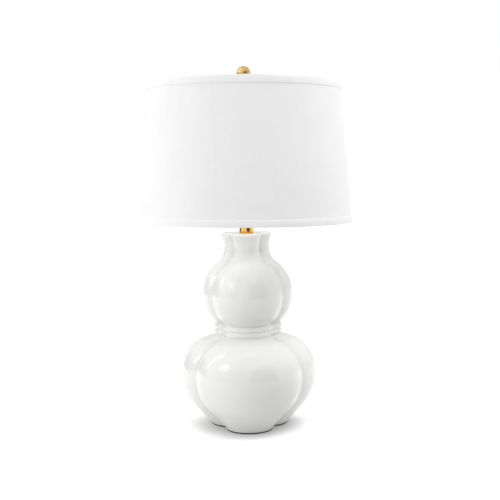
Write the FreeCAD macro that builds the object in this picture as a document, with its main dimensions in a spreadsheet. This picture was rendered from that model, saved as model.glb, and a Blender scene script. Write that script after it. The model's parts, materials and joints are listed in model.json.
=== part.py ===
"""Double gourd table lamp: a three-lobed glazed gourd body, a brass neck and socket, a harp, and a
tapered drum shade held down by a ball finial.

Frame: millimetres, +Z up, origin on the surface that the lamp stands on, under the middle of the
pipe.  The lobe that faces the viewer points along -Y, and the cord inlet is at the back, along +Y.
"""
import FreeCAD, Part

import math
import os

import Sketcher

# ---------------------------------------------------------------------------------------------
# Driving dimensions
# ---------------------------------------------------------------------------------------------
SIZES = (
    # foot and felt
    ("felt_thickness", 2.0),
    ("felt_inset", 1.0),
    ("foot_radius", 47.5),
    ("foot_round", 3.0),
    ("recess_radius", 33.0),
    ("recess_depth", 14.0),
    ("foot_opening_radius", 26.0),
    ("foot_floor", 4.5),
    # lower gourd, from the foot up: radii are of one lobe, a rise is from the level before it, and
    # a bulge is how far an arc stands off its chord
    ("lower_offset", 36.0),
    ("flank_radius", 83.0),
    ("flank_rise", 41.0),
    ("flank_bulge", 6.0),
    ("belly_radius", 106.6),
    ("belly_rise", 64.0),
    ("shoulder_bulge", 14.8),
    ("collar_radius", 53.5),
    ("collar_rise", 71.0),
    ("lower_top_radius", 38.0),
    ("lower_top_rise", 9.0),
    # waist
    ("waist_radius", 45.0),
    ("waist_rise", 9.0),
    ("bead_proud", 3.4),
    ("bead_radius", 7.5),
    ("bead_spacing", 11.0),
    # upper gourd and neck
    ("upper_offset", 24.0),
    ("upper_start_rise", 12.0),
    ("upper_flank_bulge", 6.5),
    ("bulge_radius", 70.5),
    ("bulge_rise", 56.7),
    ("upper_shoulder_bulge", 8.6),
    ("neck_start_radius", 38.0),
    ("neck_start_rise", 64.7),
    ("neck_hollow_curve", 4.1),
    ("neck_radius", 24.4),
    ("neck_rise", 30.6),
    ("lip_flare_curve", 1.0),
    ("lip_radius", 29.3),
    ("lip_rise", 20.5),
    ("lip_round", 2.8),
    ("lip_edge_rise", 4.5),
    ("dome_radius", 27.0),
    ("dome_rise", 3.0),
    # ceramic walls and holes
    ("wall", 6.5),
    ("neck_bore", 12.0),
    ("neck_roof", 8.0),
    ("pipe_hole_clearance", 0.5),
    # cord inlet at the back of the foot
    ("inlet_height", 8.0),
    ("bushing_bore", 3.5),
    ("bushing_wall", 0.9),
    ("bushing_clearance", 0.1),
    ("bushing_flange_radius", 6.2),
    ("bushing_flange_length", 4.0),
    ("bushing_seat_depth", 3.4),
    ("bushing_edge", 1.0),
    # pipe and what clamps the foot
    ("pipe_radius", 5.0),
    ("pipe_bore", 3.4),
    ("pipe_end_below_nut", 1.0),
    ("thread_clearance", 0.05),
    ("plate_radius", 32.0),
    ("plate_thickness", 1.5),
    ("washer_radius", 9.0),
    ("washer_thickness", 1.0),
    ("nut_across_corners", 16.5),
    ("nut_height", 4.5),
    ("slip_clearance", 0.25),
    # brass neck
    ("brass_neck_radius", 14.0),
    ("brass_neck_wall", 1.6),
    ("brass_neck_length", 31.0),
    ("brass_neck_lip", 2.0),
    ("brass_neck_chamfer", 0.6),
    # harp saddle
    ("saddle_thickness", 1.5),
    ("saddle_width", 9.0),
    ("saddle_disc_radius", 12.0),
    ("saddle_arm_rise", 6.5),
    ("shoulder_collar_radius", 4.6),
    ("shoulder_collar_height", 3.0),
    ("tongue_radius", 2.1),
    ("tongue_length", 11.0),
    # harp
    ("harp_height", 253.5),
    ("harp_foot_spread", 24.0),
    ("harp_spread", 57.0),
    ("harp_wire_radius", 2.0),
    ("harp_sleeve_wall", 1.05),
    ("harp_sleeve_length", 12.0),
    ("harp_straight", 34.0),
    ("harp_flare_height", 78.0),
    ("harp_side_height", 178.0),
    ("harp_top_half", 13.0),
    ("harp_bend", 22.0),
    ("harp_top_bend", 8.0),
    ("harp_boss_radius", 6.5),
    ("harp_boss_height", 4.0),
    ("running_clearance", 0.05),
    ("resting_gap", 0.3),
    # ferrules
    ("ferrule_wall", 1.2),
    ("ferrule_length", 14.0),
    # swivel stud on top of the harp
    ("stud_pin_radius", 2.2),
    ("stud_head_radius", 4.0),
    ("stud_head_height", 1.6),
    ("seat_radius", 9.5),
    ("seat_height", 6.0),
    ("seat_under_radius", 6.6),
    ("seat_rim_height", 2.4),
    ("stud_radius", 3.17),
    ("stud_length", 14.0),
    ("stud_chamfer", 0.8),
    # socket
    ("cap_hub_radius", 7.5),
    ("cap_hub_height", 4.5),
    ("cap_radius", 17.6),
    ("cap_dome_height", 12.0),
    ("cap_dome_bulge", 3.0),
    ("cap_rim_height", 4.0),
    ("cap_wall", 0.8),
    ("shell_radius", 17.2),
    ("shell_wall", 0.5),
    ("shell_insert", 3.5),
    ("shell_length", 45.0),
    ("liner_wall", 0.9),
    ("socket_gap", 0.2),
    ("interior_height", 17.0),
    ("interior_lift", 1.5),
    ("screw_shell_length", 25.0),
    ("screw_shell_wall", 0.4),
    ("contact_radius", 4.0),
    ("contact_top_radius", 3.0),
    ("contact_height", 2.0),
    ("terminal_spacing", 16.0),
    ("terminal_radius", 2.8),
    ("terminal_height", 2.2),
    ("set_screw_radius", 1.5),
    ("set_screw_length", 5.0),
    # switch
    ("switch_height", 9.0),
    ("switch_shaft_radius", 1.6),
    ("switch_shaft_depth", 5.0),
    ("switch_collar_radius", 3.6),
    ("switch_collar_length", 7.0),
    ("switch_knob_radius", 5.0),
    ("switch_knob_length", 17.0),
    ("switch_knob_gap", 0.8),
    ("knob_stem_radius", 3.75),
    ("knob_stem_length", 2.6),
    ("knob_flare", 1.2),
    ("knob_nose", 1.5),
    ("knob_end_wall", 5.0),
    # bulb
    ("bulb_cap_radius", 13.1),
    ("bulb_cap_length", 22.0),
    ("bulb_thread_depth", 0.7),
    ("bulb_thread_pitch", 3.6),
    ("bulb_insulator_height", 3.0),
    ("bulb_insulator_radius", 9.0),
    ("bulb_tip_radius", 4.5),
    ("bulb_tip_height", 1.2),
    ("bulb_radius", 30.0),
    ("bulb_widest_height", 80.0),
    ("bulb_flank_bulge", 2.1),
    ("bulb_glass", 0.8),
    ("bulb_stem_radius", 6.5),
    ("bulb_stem_top_radius", 2.6),
    ("bulb_stem_length", 34.0),
    ("filament_ring_radius", 9.0),
    ("filament_wire_radius", 0.4),
    ("filament_support_spacing", 1.6),
    # shade
    ("shade_top_radius", 189.7),
    ("shade_bottom_radius", 214.6),
    ("shade_height", 272.5),
    ("shade_drop", 10.0),
    ("liner_thickness", 0.8),
    ("cover_thickness", 0.7),
    ("top_trim_width", 14.0),
    ("bottom_trim_width", 12.5),
    ("trim_thickness", 0.8),
    ("trim_turn_in", 4.0),
    ("ring_wire_radius", 2.0),
    ("ring_gap", 0.1),
    ("arm_radius", 1.8),
    ("hub_radius", 13.0),
    ("hub_thickness", 2.5),
    ("hub_clearance", 0.2),
    # finial
    ("ball_radius", 13.7),
    ("finial_base_radius", 8.5),
    ("finial_base_height", 3.0),
    ("finial_waist_radius", 5.4),
    ("finial_waist_height", 7.0),
    ("finial_hollow_curve", 1.0),
    ("finial_cup_radius", 7.0),
    ("finial_stem_height", 13.0),
    ("insert_radius", 4.3),
    ("insert_length", 18.0),
    ("insert_bore_depth", 15.5),
)

LOBE_ANGLES = (-90.0, 30.0, 150.0)
ARM_ANGLES = (90.0, 210.0, 330.0)
BULB_THREADS = 5
# Where the middle of a quarter circle lies along each of its two radii, and how far that is from
# the corner that the quarter circle rounds off.
DIAGONAL = math.sqrt(0.5)
OFF_CORNER = 1.0 - DIAGONAL

UNIT_X = FreeCAD.Vector(1.0, 0.0, 0.0)
UNIT_Y = FreeCAD.Vector(0.0, 1.0, 0.0)
UNIT_Z = FreeCAD.Vector(0.0, 0.0, 1.0)
# A cylinder turned this way runs from its place towards the back, +Y, or towards the front, -Y.
TO_BACK = (UNIT_X, -90.0)
TO_FRONT = (UNIT_X, 90.0)

doc = FreeCAD.newDocument("double_gourd_lamp")
sheet = doc.addObject("Spreadsheet::Sheet", "sizes")
for row, (alias, value) in enumerate(SIZES, start=1):
    sheet.set("A%d" % row, alias)
    sheet.set("B%d" % row, str(value))
    sheet.setAlias("B%d" % row, alias)
doc.recompute()

sub_parts = []


# ---------------------------------------------------------------------------------------------
# Lengths that stay tied to the sheet
# ---------------------------------------------------------------------------------------------
class Length:
    """A length worked out from the sheet: its expression and its present value."""

    def __init__(self, text, value):
        self.text = text
        self.value = value

    def __add__(self, other):
        return combine(self, "+", other, lambda a, b: a + b)

    def __sub__(self, other):
        return combine(self, "-", other, lambda a, b: a - b)

    def __mul__(self, other):
        return combine(self, "*", other, lambda a, b: a * b)

    def __truediv__(self, other):
        return combine(self, "/", other, lambda a, b: a / b)

    def __neg__(self):
        return self * -1.0


def length(value):
    """The value as a Length, also where it is a plain number."""
    if isinstance(value, Length):
        return value
    return Length("(%r)" % float(value), float(value))


def combine(first, sign, second, work):
    first, second = length(first), length(second)
    text = "(%s %s %s)" % (first.text, sign, second.text)
    return Length(text, work(first.value, second.value))


def root(value):
    return Length("sqrt(%s)" % value.text, math.sqrt(value.value))


class Sizes:
    """The sheet's cells, read by their names."""

    def __getattr__(self, alias):
        return Length("sizes.%s" % alias, float(sheet.get(alias)))


s = Sizes()
ZERO = length(0.0)
ONE = length(1.0)


# ---------------------------------------------------------------------------------------------
# Ways of making a piece
# ---------------------------------------------------------------------------------------------
class Via:
    """A point that an arc passes through, between the outline's points before and after it."""

    def __init__(self, across, up):
        self.across = across
        self.up = up


def bulging(start, stop, bulge):
    """The middle of an arc that stands off its chord, outwards where the outline runs upwards."""
    across, up = stop[0] - start[0], stop[1] - start[1]
    size = root(across * across + up * up)
    return Via((start[0] + stop[0]) / 2.0 + up / size * bulge,
               (start[1] + stop[1]) / 2.0 - across / size * bulge)


def vector(across, up):
    return FreeCAD.Vector(length(across).value, length(up).value, 0.0)


def pin_point(sketch, curve, end, across, up):
    """Tie one point of a sketch to its place."""
    for kind, place in (("DistanceX", length(across)), ("DistanceY", length(up))):
        index = sketch.addConstraint(Sketcher.Constraint(kind, -1, 1, curve, end, place.value))
        sketch.setExpression("Constraints[%d]" % index, place.text)


def draw(sketch, outline, closed=True):
    """Draw lines and arcs through the outline's points, each tied to the sheet."""
    corners = [point for point in outline if not isinstance(point, Via)]
    vias = {}
    for place, point in enumerate(outline):
        if isinstance(point, Via):
            vias[sum(not isinstance(before, Via) for before in outline[:place]) - 1] = point
    count = len(corners) if closed else len(corners) - 1
    ends = []
    for index in range(count):
        start = vector(*corners[index])
        stop = vector(*corners[(index + 1) % len(corners)])
        via = vias.get(index)
        if via is None:
            curve = sketch.addGeometry(Part.LineSegment(start, stop), False)
            ends.append((curve, 1, 2))
            continue
        middle = vector(via.across, via.up)
        if (middle - start).cross(stop - middle).z > 0.0:
            curve = sketch.addGeometry(Part.Arc(start, middle, stop), False)
            ends.append((curve, 1, 2))
        else:
            curve = sketch.addGeometry(Part.Arc(stop, middle, start), False)
            ends.append((curve, 2, 1))
        mark = sketch.addGeometry(Part.Point(middle), True)
        pin_point(sketch, mark, 1, via.across, via.up)
        sketch.addConstraint(Sketcher.Constraint("PointOnObject", mark, 1, curve))
    for index, (curve, start_end, stop_end) in enumerate(ends):
        pin_point(sketch, curve, start_end, *corners[index])
        if index + 1 < len(ends) or closed:
            after, after_start, _ = ends[(index + 1) % len(ends)]
            sketch.addConstraint(Sketcher.Constraint("Coincident", curve, stop_end, after, after_start))
        else:
            pin_point(sketch, curve, stop_end, *corners[index + 1])


def place(item, x=0.0, y=0.0, z=0.0, turn=None):
    """Put an object at its place, tied to the sheet, after an optional turn (axis, degrees)."""
    if turn:
        item.Placement = FreeCAD.Placement(FreeCAD.Vector(), FreeCAD.Rotation(*turn))
    for axis, value in zip("xyz", (x, y, z)):
        if isinstance(value, Length) or value:
            item.setExpression("Placement.Base.%s" % axis, length(value).text)
    return item


def bind(item, **values):
    for name, value in values.items():
        item.setExpression(name, length(value).text)
    return item


def keep(item, label):
    """Count an object as a sub-part under the name that a person would use."""
    item.Label = label
    sub_parts.append(item)
    return item


def cylinder(name, radius, height, x=0.0, y=0.0, z=0.0, turn=None):
    item = doc.addObject("Part::Cylinder", name)
    bind(item, Radius=radius, Height=height)
    return place(item, x, y, z, turn)


def box(name, size, x, y, z):
    """A box centred on x and y that stands on z."""
    item = doc.addObject("Part::Box", name)
    wide, deep, high = (length(value) for value in size)
    bind(item, Length=wide, Width=deep, Height=high)
    return place(item, length(x) - wide / 2.0, length(y) - deep / 2.0, z)


def fuse(name, items):
    item = doc.addObject("Part::MultiFuse", name)
    item.Shapes = items
    item.Refine = True
    return item


def cut(name, base, tools):
    """The base without the tools, which are joined first where there are several."""
    item = doc.addObject("Part::Cut", name)
    item.Base = base
    item.Tool = tools[0] if len(tools) == 1 else fuse(name + "_tools", tools)
    return item


def turned(label, outline):
    """A piece turned about its own upright axis, from a closed outline of (radius, height)."""
    body = doc.addObject("PartDesign::Body", label)
    plane = [item for item in body.Origin.OriginFeatures if item.Role == "XZ_Plane"][0]
    sketch = body.newObject("Sketcher::SketchObject", label + "_outline")
    sketch.AttachmentSupport = [(plane, "")]
    sketch.MapMode = "FlatFace"
    draw(sketch, outline)
    revolution = body.newObject("PartDesign::Revolution", label + "_turn")
    revolution.Profile = sketch
    revolution.ReferenceAxis = (sketch, ["V_Axis"])
    revolution.Angle = 360.0
    body.Tip = revolution
    return body


def free_sketch(name, outline, closed=True):
    """A sketch in the plane of X and Z."""
    sketch = doc.addObject("Sketcher::SketchObject", name)
    sketch.Placement = FreeCAD.Placement(FreeCAD.Vector(), FreeCAD.Rotation(UNIT_X, 90.0))
    draw(sketch, outline, closed)
    return sketch


def around(offset, angle):
    """X and Y of a point at a distance from the middle, in a direction given in degrees."""
    return offset * math.cos(math.radians(angle)), offset * math.sin(math.radians(angle))


def lobes(name, outline, offset):
    """Three turned solids, each about its own axis at the offset from the middle, as one."""
    sketch = free_sketch(name + "_outline", outline)
    copies = []
    for angle in LOBE_ANGLES:
        lobe = doc.addObject("Part::Revolution", "%s_%d" % (name, len(copies)))
        lobe.Source = sketch
        lobe.Axis = UNIT_Z
        lobe.Angle = 360.0
        lobe.Solid = True
        copies.append(place(lobe, *around(offset, angle)))
    return copies


# ---------------------------------------------------------------------------------------------
# Levels, each worked out from the piece below it
# ---------------------------------------------------------------------------------------------
foot_z = s.felt_thickness
recess_top = foot_z + s.recess_depth
cavity_floor = recess_top + s.foot_floor
flank_z = foot_z + s.flank_rise
belly_z = flank_z + s.belly_rise
collar_z = belly_z + s.collar_rise
lower_top_z = collar_z + s.lower_top_rise
waist_z = lower_top_z + s.waist_rise
upper_start_z = waist_z + s.upper_start_rise
bulge_z = upper_start_z + s.bulge_rise
neck_start_z = bulge_z + s.neck_start_rise
neck_z = neck_start_z + s.neck_rise
lip_z = neck_z + s.lip_rise
lip_top = lip_z + s.lip_edge_rise
body_top = lip_top + s.dome_rise
plate_bottom = recess_top - s.plate_thickness
washer_bottom = plate_bottom - s.washer_thickness
nut_bottom = washer_bottom - s.nut_height
pipe_bottom = nut_bottom - s.pipe_end_below_nut
brass_neck_top = body_top + s.brass_neck_length
saddle_top = brass_neck_top + s.saddle_thickness
collar_bottom = saddle_top + s.saddle_arm_rise
harp_foot = collar_bottom + s.shoulder_collar_height
cap_dome_bottom = saddle_top + s.cap_hub_height
cap_rim_bottom = cap_dome_bottom + s.cap_dome_height
cap_top = cap_rim_bottom + s.cap_rim_height
shell_bottom = cap_top - s.shell_insert
shell_top = shell_bottom + s.shell_length
interior_bottom = shell_bottom + s.interior_lift
interior_top = interior_bottom + s.interior_height
switch_z = interior_bottom + s.switch_height
bulb_bottom = interior_top + s.contact_height
seat_top = saddle_top + s.harp_height
boss_top = seat_top - s.seat_height
boss_bottom = boss_top - s.harp_boss_height
wire_top = boss_top - s.harp_boss_height / 2.0
hub_top = seat_top + s.hub_thickness
shade_top = seat_top + s.shade_drop
shade_bottom = shade_top - s.shade_height
ball_z = hub_top + s.finial_stem_height + s.ball_radius


# ---------------------------------------------------------------------------------------------
# Ceramic body and what closes its foot
# ---------------------------------------------------------------------------------------------
def lower_outline(thinner, floor, top):
    """One lobe of the lower gourd, thinner by a wall for the hollow inside it."""
    flank = (s.flank_radius - thinner, flank_z)
    belly = (s.belly_radius - thinner, belly_z)
    collar = (s.collar_radius - thinner, collar_z)
    return [
        (ZERO, floor),
        (s.foot_radius - thinner, floor),
        flank,
        bulging(flank, belly, s.flank_bulge),
        belly,
        bulging(belly, collar, s.shoulder_bulge),
        collar,
        (s.lower_top_radius - thinner, top),
        (ZERO, top),
    ]


def upper_outline(thinner, bottom):
    """One lobe of the waist and the upper gourd, up to where the neck begins."""
    start = (s.waist_radius - thinner, upper_start_z)
    bulge = (s.bulge_radius - thinner, bulge_z)
    neck_start = (s.neck_start_radius - thinner, neck_start_z)
    return [
        (ZERO, bottom),
        (s.waist_radius - thinner, bottom),
        start,
        bulging(start, bulge, s.upper_flank_bulge),
        bulge,
        bulging(bulge, neck_start, s.upper_shoulder_bulge),
        neck_start,
    ]


def outer_solids():
    """Everything that the ceramic body is made of, before it is hollowed."""
    edge = s.foot_round
    foot = [
        (ZERO, foot_z),
        (s.foot_radius - edge, foot_z),
        Via(s.foot_radius - edge * OFF_CORNER, foot_z + edge * OFF_CORNER),
        (s.foot_radius, foot_z + edge),
    ]
    lower = foot + lower_outline(ZERO, foot_z, lower_top_z)[2:]
    neck_start = (s.neck_start_radius, neck_start_z)
    neck = (s.neck_radius, neck_z)
    lip = (s.lip_radius, lip_z)
    lip_edge = (s.lip_radius - s.lip_round, lip_top)
    top = [
        bulging(neck_start, neck, -s.neck_hollow_curve),
        neck,
        bulging(neck, lip, -s.lip_flare_curve),
        lip,
        bulging(lip, lip_edge, s.lip_round * OFF_CORNER),
        lip_edge,
        (ZERO, lip_top),
    ]
    upper = upper_outline(ZERO, waist_z - s.bead_radius - s.bead_spacing / 2.0) + top
    solids = lobes("lower_gourd", lower, s.lower_offset)
    solids += lobes("upper_gourd", upper, s.upper_offset)
    bead_path = s.waist_radius + s.bead_proud - s.bead_radius
    for level in (-0.5, 0.5):
        for angle in LOBE_ANGLES:
            bead = doc.addObject("Part::Torus", "waist_bead")
            bind(bead, Radius1=bead_path, Radius2=s.bead_radius)
            solids.append(place(bead, *around(s.upper_offset, angle), waist_z + s.bead_spacing * level))
    dome = doc.addObject("Part::Cone", "neck_dome")
    bind(dome, Radius1=s.dome_radius, Radius2=s.brass_neck_radius + s.brass_neck_wall, Height=s.dome_rise)
    solids.append(place(dome, z=lip_top))
    return solids


def inlet_seat():
    """How far behind the pipe the bushing's flange sits, set back from the groove between two lobes."""
    share = (s.inlet_height - s.foot_round) / (s.flank_rise - s.foot_round)
    radius = s.foot_radius + (s.flank_radius - s.foot_radius) * share
    half = s.lower_offset / 2.0
    return half + root(radius * radius - half * half * 3.0) - s.bushing_seat_depth


def gourd_body():
    outside = fuse("gourd_outside", outer_solids())
    hollow = lobes("lower_hollow", lower_outline(s.wall, cavity_floor, collar_z + s.wall / 2.0),
                   s.lower_offset)
    upper_hollow = upper_outline(s.wall, collar_z) + [(ZERO, neck_start_z)]
    hollow += lobes("upper_hollow", upper_hollow, s.upper_offset)
    roof = lip_top - s.neck_roof
    hollow.append(cylinder("neck_hollow", s.neck_bore, roof - neck_start_z + s.wall,
                           z=neck_start_z - s.wall))
    hollow.append(cylinder("pipe_hole", s.pipe_radius + s.pipe_hole_clearance,
                           s.neck_roof + s.dome_rise, z=roof))
    hollow.append(cylinder("foot_recess", s.recess_radius, s.recess_depth, z=foot_z))
    hollow.append(cylinder("foot_opening", s.foot_opening_radius, s.foot_floor, z=recess_top))
    inlet_z = foot_z + s.inlet_height
    hole = s.bushing_bore + s.bushing_wall + s.bushing_clearance
    seat = inlet_seat()
    hollow.append(cylinder("inlet_hole", hole, seat, y=s.recess_radius - s.wall, z=inlet_z, turn=TO_BACK))
    hollow.append(cylinder("inlet_seat", s.bushing_flange_radius + s.bushing_clearance, seat,
                           y=seat, z=inlet_z, turn=TO_BACK))
    keep(cut("gourd_body", outside, hollow), "gourd_body")


def base_felt():
    radius = s.foot_radius - s.foot_round - s.felt_inset
    pads = []
    for angle in LOBE_ANGLES:
        pads.append(cylinder("felt_lobe", radius, s.felt_thickness, *around(s.lower_offset, angle)))
    keep(fuse("base_felt", pads), "base_felt")


def ring(label, inner, outer, bottom, height):
    """A flat round piece with a hole."""
    top = bottom + height
    return keep(turned(label, [(inner, bottom), (outer, bottom), (outer, top), (inner, top)]), label)


def foot_fasteners():
    hole = s.pipe_radius + s.slip_clearance
    ring("base_plate", hole, s.plate_radius, plate_bottom, s.plate_thickness)
    ring("base_washer", hole, s.washer_radius, washer_bottom, s.washer_thickness)
    blank = doc.addObject("Part::Prism", "nut_blank")
    blank.Polygon = 6
    bind(blank, Circumradius=s.nut_across_corners / 2.0, Height=s.nut_height)
    place(blank, z=nut_bottom)
    thread = cylinder("nut_thread", s.pipe_radius + s.thread_clearance, s.nut_height, z=nut_bottom)
    keep(cut("base_nut", blank, [thread]), "base_nut")


def lamp_pipe():
    ring("lamp_pipe", s.pipe_bore, s.pipe_radius, pipe_bottom, cap_dome_bottom - pipe_bottom)


def cord_bushing():
    inner_end = s.recess_radius
    radius = s.bushing_bore + s.bushing_wall
    seat = inlet_seat()
    flange_end = seat + s.bushing_flange_length
    outline = [
        (s.bushing_bore, inner_end),
        (radius, inner_end),
        (radius, seat),
        (s.bushing_flange_radius, seat),
        (s.bushing_flange_radius, flange_end - s.bushing_edge),
        (s.bushing_flange_radius - s.bushing_edge, flange_end),
        (s.bushing_bore, flange_end),
    ]
    bushing = turned("cord_bushing", outline)
    keep(place(bushing, z=foot_z + s.inlet_height, turn=TO_BACK), "cord_bushing")


# ---------------------------------------------------------------------------------------------
# Brass neck, harp saddle and socket
# ---------------------------------------------------------------------------------------------
def brass_neck():
    radius, chamfer = s.brass_neck_radius, s.brass_neck_chamfer
    inside = radius - s.brass_neck_wall
    hole = s.pipe_radius + s.slip_clearance
    outline = [
        (inside, body_top),
        (radius - chamfer, body_top),
        (radius, body_top + chamfer),
        (radius, brass_neck_top - chamfer),
        (radius - chamfer, brass_neck_top),
        (hole, brass_neck_top),
        (hole, brass_neck_top - s.brass_neck_lip),
        (inside, brass_neck_top - s.brass_neck_lip),
    ]
    keep(turned("brass_neck", outline), "brass_neck")


def harp_saddle():
    spread = s.harp_foot_spread
    pieces = [
        cylinder("saddle_disc", s.saddle_disc_radius, s.saddle_thickness, z=brass_neck_top),
        box("saddle_strap", (spread * 2.0 + s.saddle_thickness, s.saddle_width, s.saddle_thickness),
            0.0, 0.0, brass_neck_top),
    ]
    for side in (-1.0, 1.0):
        x = spread * side
        arm = (s.saddle_thickness, s.saddle_width, s.saddle_arm_rise)
        pieces.append(box("saddle_arm", arm, x, 0.0, saddle_top))
        pieces.append(cylinder("saddle_collar", s.shoulder_collar_radius, s.shoulder_collar_height,
                               x, z=collar_bottom))
        pieces.append(cylinder("saddle_tongue", s.tongue_radius, s.tongue_length, x, z=harp_foot))
    hole = cylinder("saddle_hole", s.pipe_radius + s.slip_clearance, s.saddle_thickness, z=brass_neck_top)
    keep(cut("harp_saddle", fuse("saddle_blank", pieces), [hole]), "harp_saddle")


def socket_cap():
    thread = s.pipe_radius + s.thread_clearance
    hub, radius, wall = s.cap_hub_radius, s.cap_radius, s.cap_wall
    dome_start, dome_end = (hub, cap_dome_bottom), (radius, cap_rim_bottom)
    inner_start, inner_end = (hub - wall, cap_dome_bottom + wall), (radius - wall, cap_rim_bottom)
    outline = [
        (thread, saddle_top),
        (hub, saddle_top),
        dome_start,
        bulging(dome_start, dome_end, s.cap_dome_bulge),
        dome_end,
        (radius, cap_top),
        (radius - wall, cap_top),
        inner_end,
        bulging(inner_start, inner_end, s.cap_dome_bulge),
        inner_start,
        (thread, cap_dome_bottom + wall),
    ]
    cap = turned("socket_cap_blank", outline)
    screw_hole = cylinder("set_screw_hole", s.set_screw_radius, s.cap_hub_radius, y=s.pipe_radius,
                          z=saddle_top + s.cap_hub_height / 2.0, turn=TO_BACK)
    keep(cut("socket_cap", cap, [screw_hole]), "socket_cap")
    screw = cylinder("set_screw", s.set_screw_radius, s.set_screw_length, y=thread,
                     z=saddle_top + s.cap_hub_height / 2.0, turn=TO_BACK)
    keep(screw, "set_screw")


def socket_sleeve(label, inside, outside, bottom, top):
    """A sleeve of the socket with the hole that the switch's collar passes through."""
    blank = turned(label + "_blank", [(inside, bottom), (outside, bottom), (outside, top), (inside, top)])
    hole = cylinder(label + "_hole", s.switch_collar_radius + s.thread_clearance, s.shell_radius * 2.0,
                    z=switch_z, turn=TO_FRONT)
    keep(cut(label, blank, [hole]), label)


def socket():
    shell_outside = s.cap_radius - s.cap_wall - s.socket_gap
    shell_inside = shell_outside - s.shell_wall
    socket_sleeve("socket_shell", shell_inside, shell_outside, shell_bottom, shell_top)
    liner_outside = shell_inside - s.socket_gap
    liner_inside = liner_outside - s.liner_wall
    socket_sleeve("socket_liner", liner_inside, liner_outside, shell_bottom, shell_top - s.liner_wall)
    interior_radius = liner_inside - s.socket_gap
    blank = turned("interior_blank", [(ZERO, interior_bottom), (interior_radius, interior_bottom),
                                      (interior_radius, interior_top), (ZERO, interior_top)])
    depth = s.switch_shaft_depth
    bore = cylinder("switch_bore", s.switch_shaft_radius + s.running_clearance, interior_radius,
                    y=depth - interior_radius, z=switch_z, turn=TO_FRONT)
    keep(cut("socket_interior", blank, [bore]), "socket_interior")
    screw_inside = interior_radius - s.screw_shell_wall
    ring("screw_shell", screw_inside, interior_radius, interior_top, s.screw_shell_length)
    contact = [(ZERO, interior_top), (s.contact_radius, interior_top),
               (s.contact_top_radius, bulb_bottom), (ZERO, bulb_bottom)]
    keep(turned("centre_contact", contact), "centre_contact")
    screws = []
    for side in (-0.5, 0.5):
        screws.append(cylinder("terminal_screw", s.terminal_radius, s.terminal_height,
                               x=s.terminal_spacing * side, z=interior_bottom - s.terminal_height))
    keep(fuse("terminal_screws", screws), "terminal_screws")
    return interior_radius


def switch(interior_radius):
    collar_start = interior_radius + s.socket_gap
    collar_end = collar_start + s.switch_collar_length
    collar = turned("switch_collar", [
        (s.switch_shaft_radius + s.running_clearance, collar_start),
        (s.switch_collar_radius, collar_start),
        (s.switch_collar_radius, collar_end),
        (s.switch_shaft_radius + s.running_clearance, collar_end),
    ])
    keep(place(collar, z=switch_z, turn=TO_FRONT), "switch_collar")
    knob_start = collar_end + s.switch_knob_gap
    knob_end = knob_start + s.switch_knob_length
    shaft_start = interior_radius - s.switch_shaft_depth
    shaft_end = knob_end - s.knob_end_wall
    shaft = turned("switch_shaft", [(ZERO, shaft_start), (s.switch_shaft_radius, shaft_start),
                                    (s.switch_shaft_radius, shaft_end), (ZERO, shaft_end)])
    keep(place(shaft, z=switch_z, turn=TO_FRONT), "switch_shaft")
    radius = s.switch_knob_radius
    stem_end = knob_start + s.knob_stem_length
    knob = turned("switch_knob", [
        (s.switch_shaft_radius, knob_start),
        (s.knob_stem_radius, knob_start),
        (s.knob_stem_radius, stem_end),
        (radius, stem_end + s.knob_flare),
        (radius, knob_end - s.knob_nose),
        (radius - s.knob_nose, knob_end),
        (ZERO, knob_end),
        (ZERO, shaft_end),
        (s.switch_shaft_radius, shaft_end),
    ])
    keep(place(knob, z=switch_z, turn=TO_FRONT), "switch_knob")


# ---------------------------------------------------------------------------------------------
# Harp, ferrules and swivel stud
# ---------------------------------------------------------------------------------------------
def tangent_points(before, corner, after, radius):
    """Where an arc of this radius leaves one straight run and joins the next, and its middle."""
    to_before = unit(before, corner)
    to_after = unit(after, corner)
    cosine = to_before[0] * to_after[0] + to_before[1] * to_after[1]
    half = root((ONE - cosine) / 2.0)
    tangent = radius * root((ONE + cosine) / 2.0) / half
    start = (corner[0] + to_before[0] * tangent, corner[1] + to_before[1] * tangent)
    stop = (corner[0] + to_after[0] * tangent, corner[1] + to_after[1] * tangent)
    middle = ((to_before[0] + to_after[0]) / 2.0, (to_before[1] + to_after[1]) / 2.0)
    size = root(middle[0] * middle[0] + middle[1] * middle[1])
    reach = radius / half - radius
    via = Via(corner[0] + middle[0] / size * reach, corner[1] + middle[1] / size * reach)
    return start, via, stop


def unit(point, corner):
    across, up = point[0] - corner[0], point[1] - corner[1]
    size = root(across * across + up * up)
    return across / size, up / size


def harp_route():
    """One leg of the harp, from the middle of its top down to its sleeve."""
    foot = harp_foot + s.harp_sleeve_length
    corners = [
        (ZERO, wire_top),
        (s.harp_top_half, wire_top),
        (s.harp_spread, harp_foot + s.harp_side_height),
        (s.harp_spread, harp_foot + s.harp_flare_height),
        (s.harp_foot_spread, harp_foot + s.harp_straight),
        (s.harp_foot_spread, foot),
    ]
    radii = (s.harp_top_bend, s.harp_bend, s.harp_bend, s.harp_bend)
    route = [corners[0]]
    for before, corner, after, radius in zip(corners, corners[1:], corners[2:], radii):
        route.extend(tangent_points(before, corner, after, radius))
    route.append(corners[-1])
    return route


def mirrored(name, source, normal):
    item = doc.addObject("Part::Mirroring", name)
    item.Source = source
    item.Normal = normal
    return item


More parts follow.
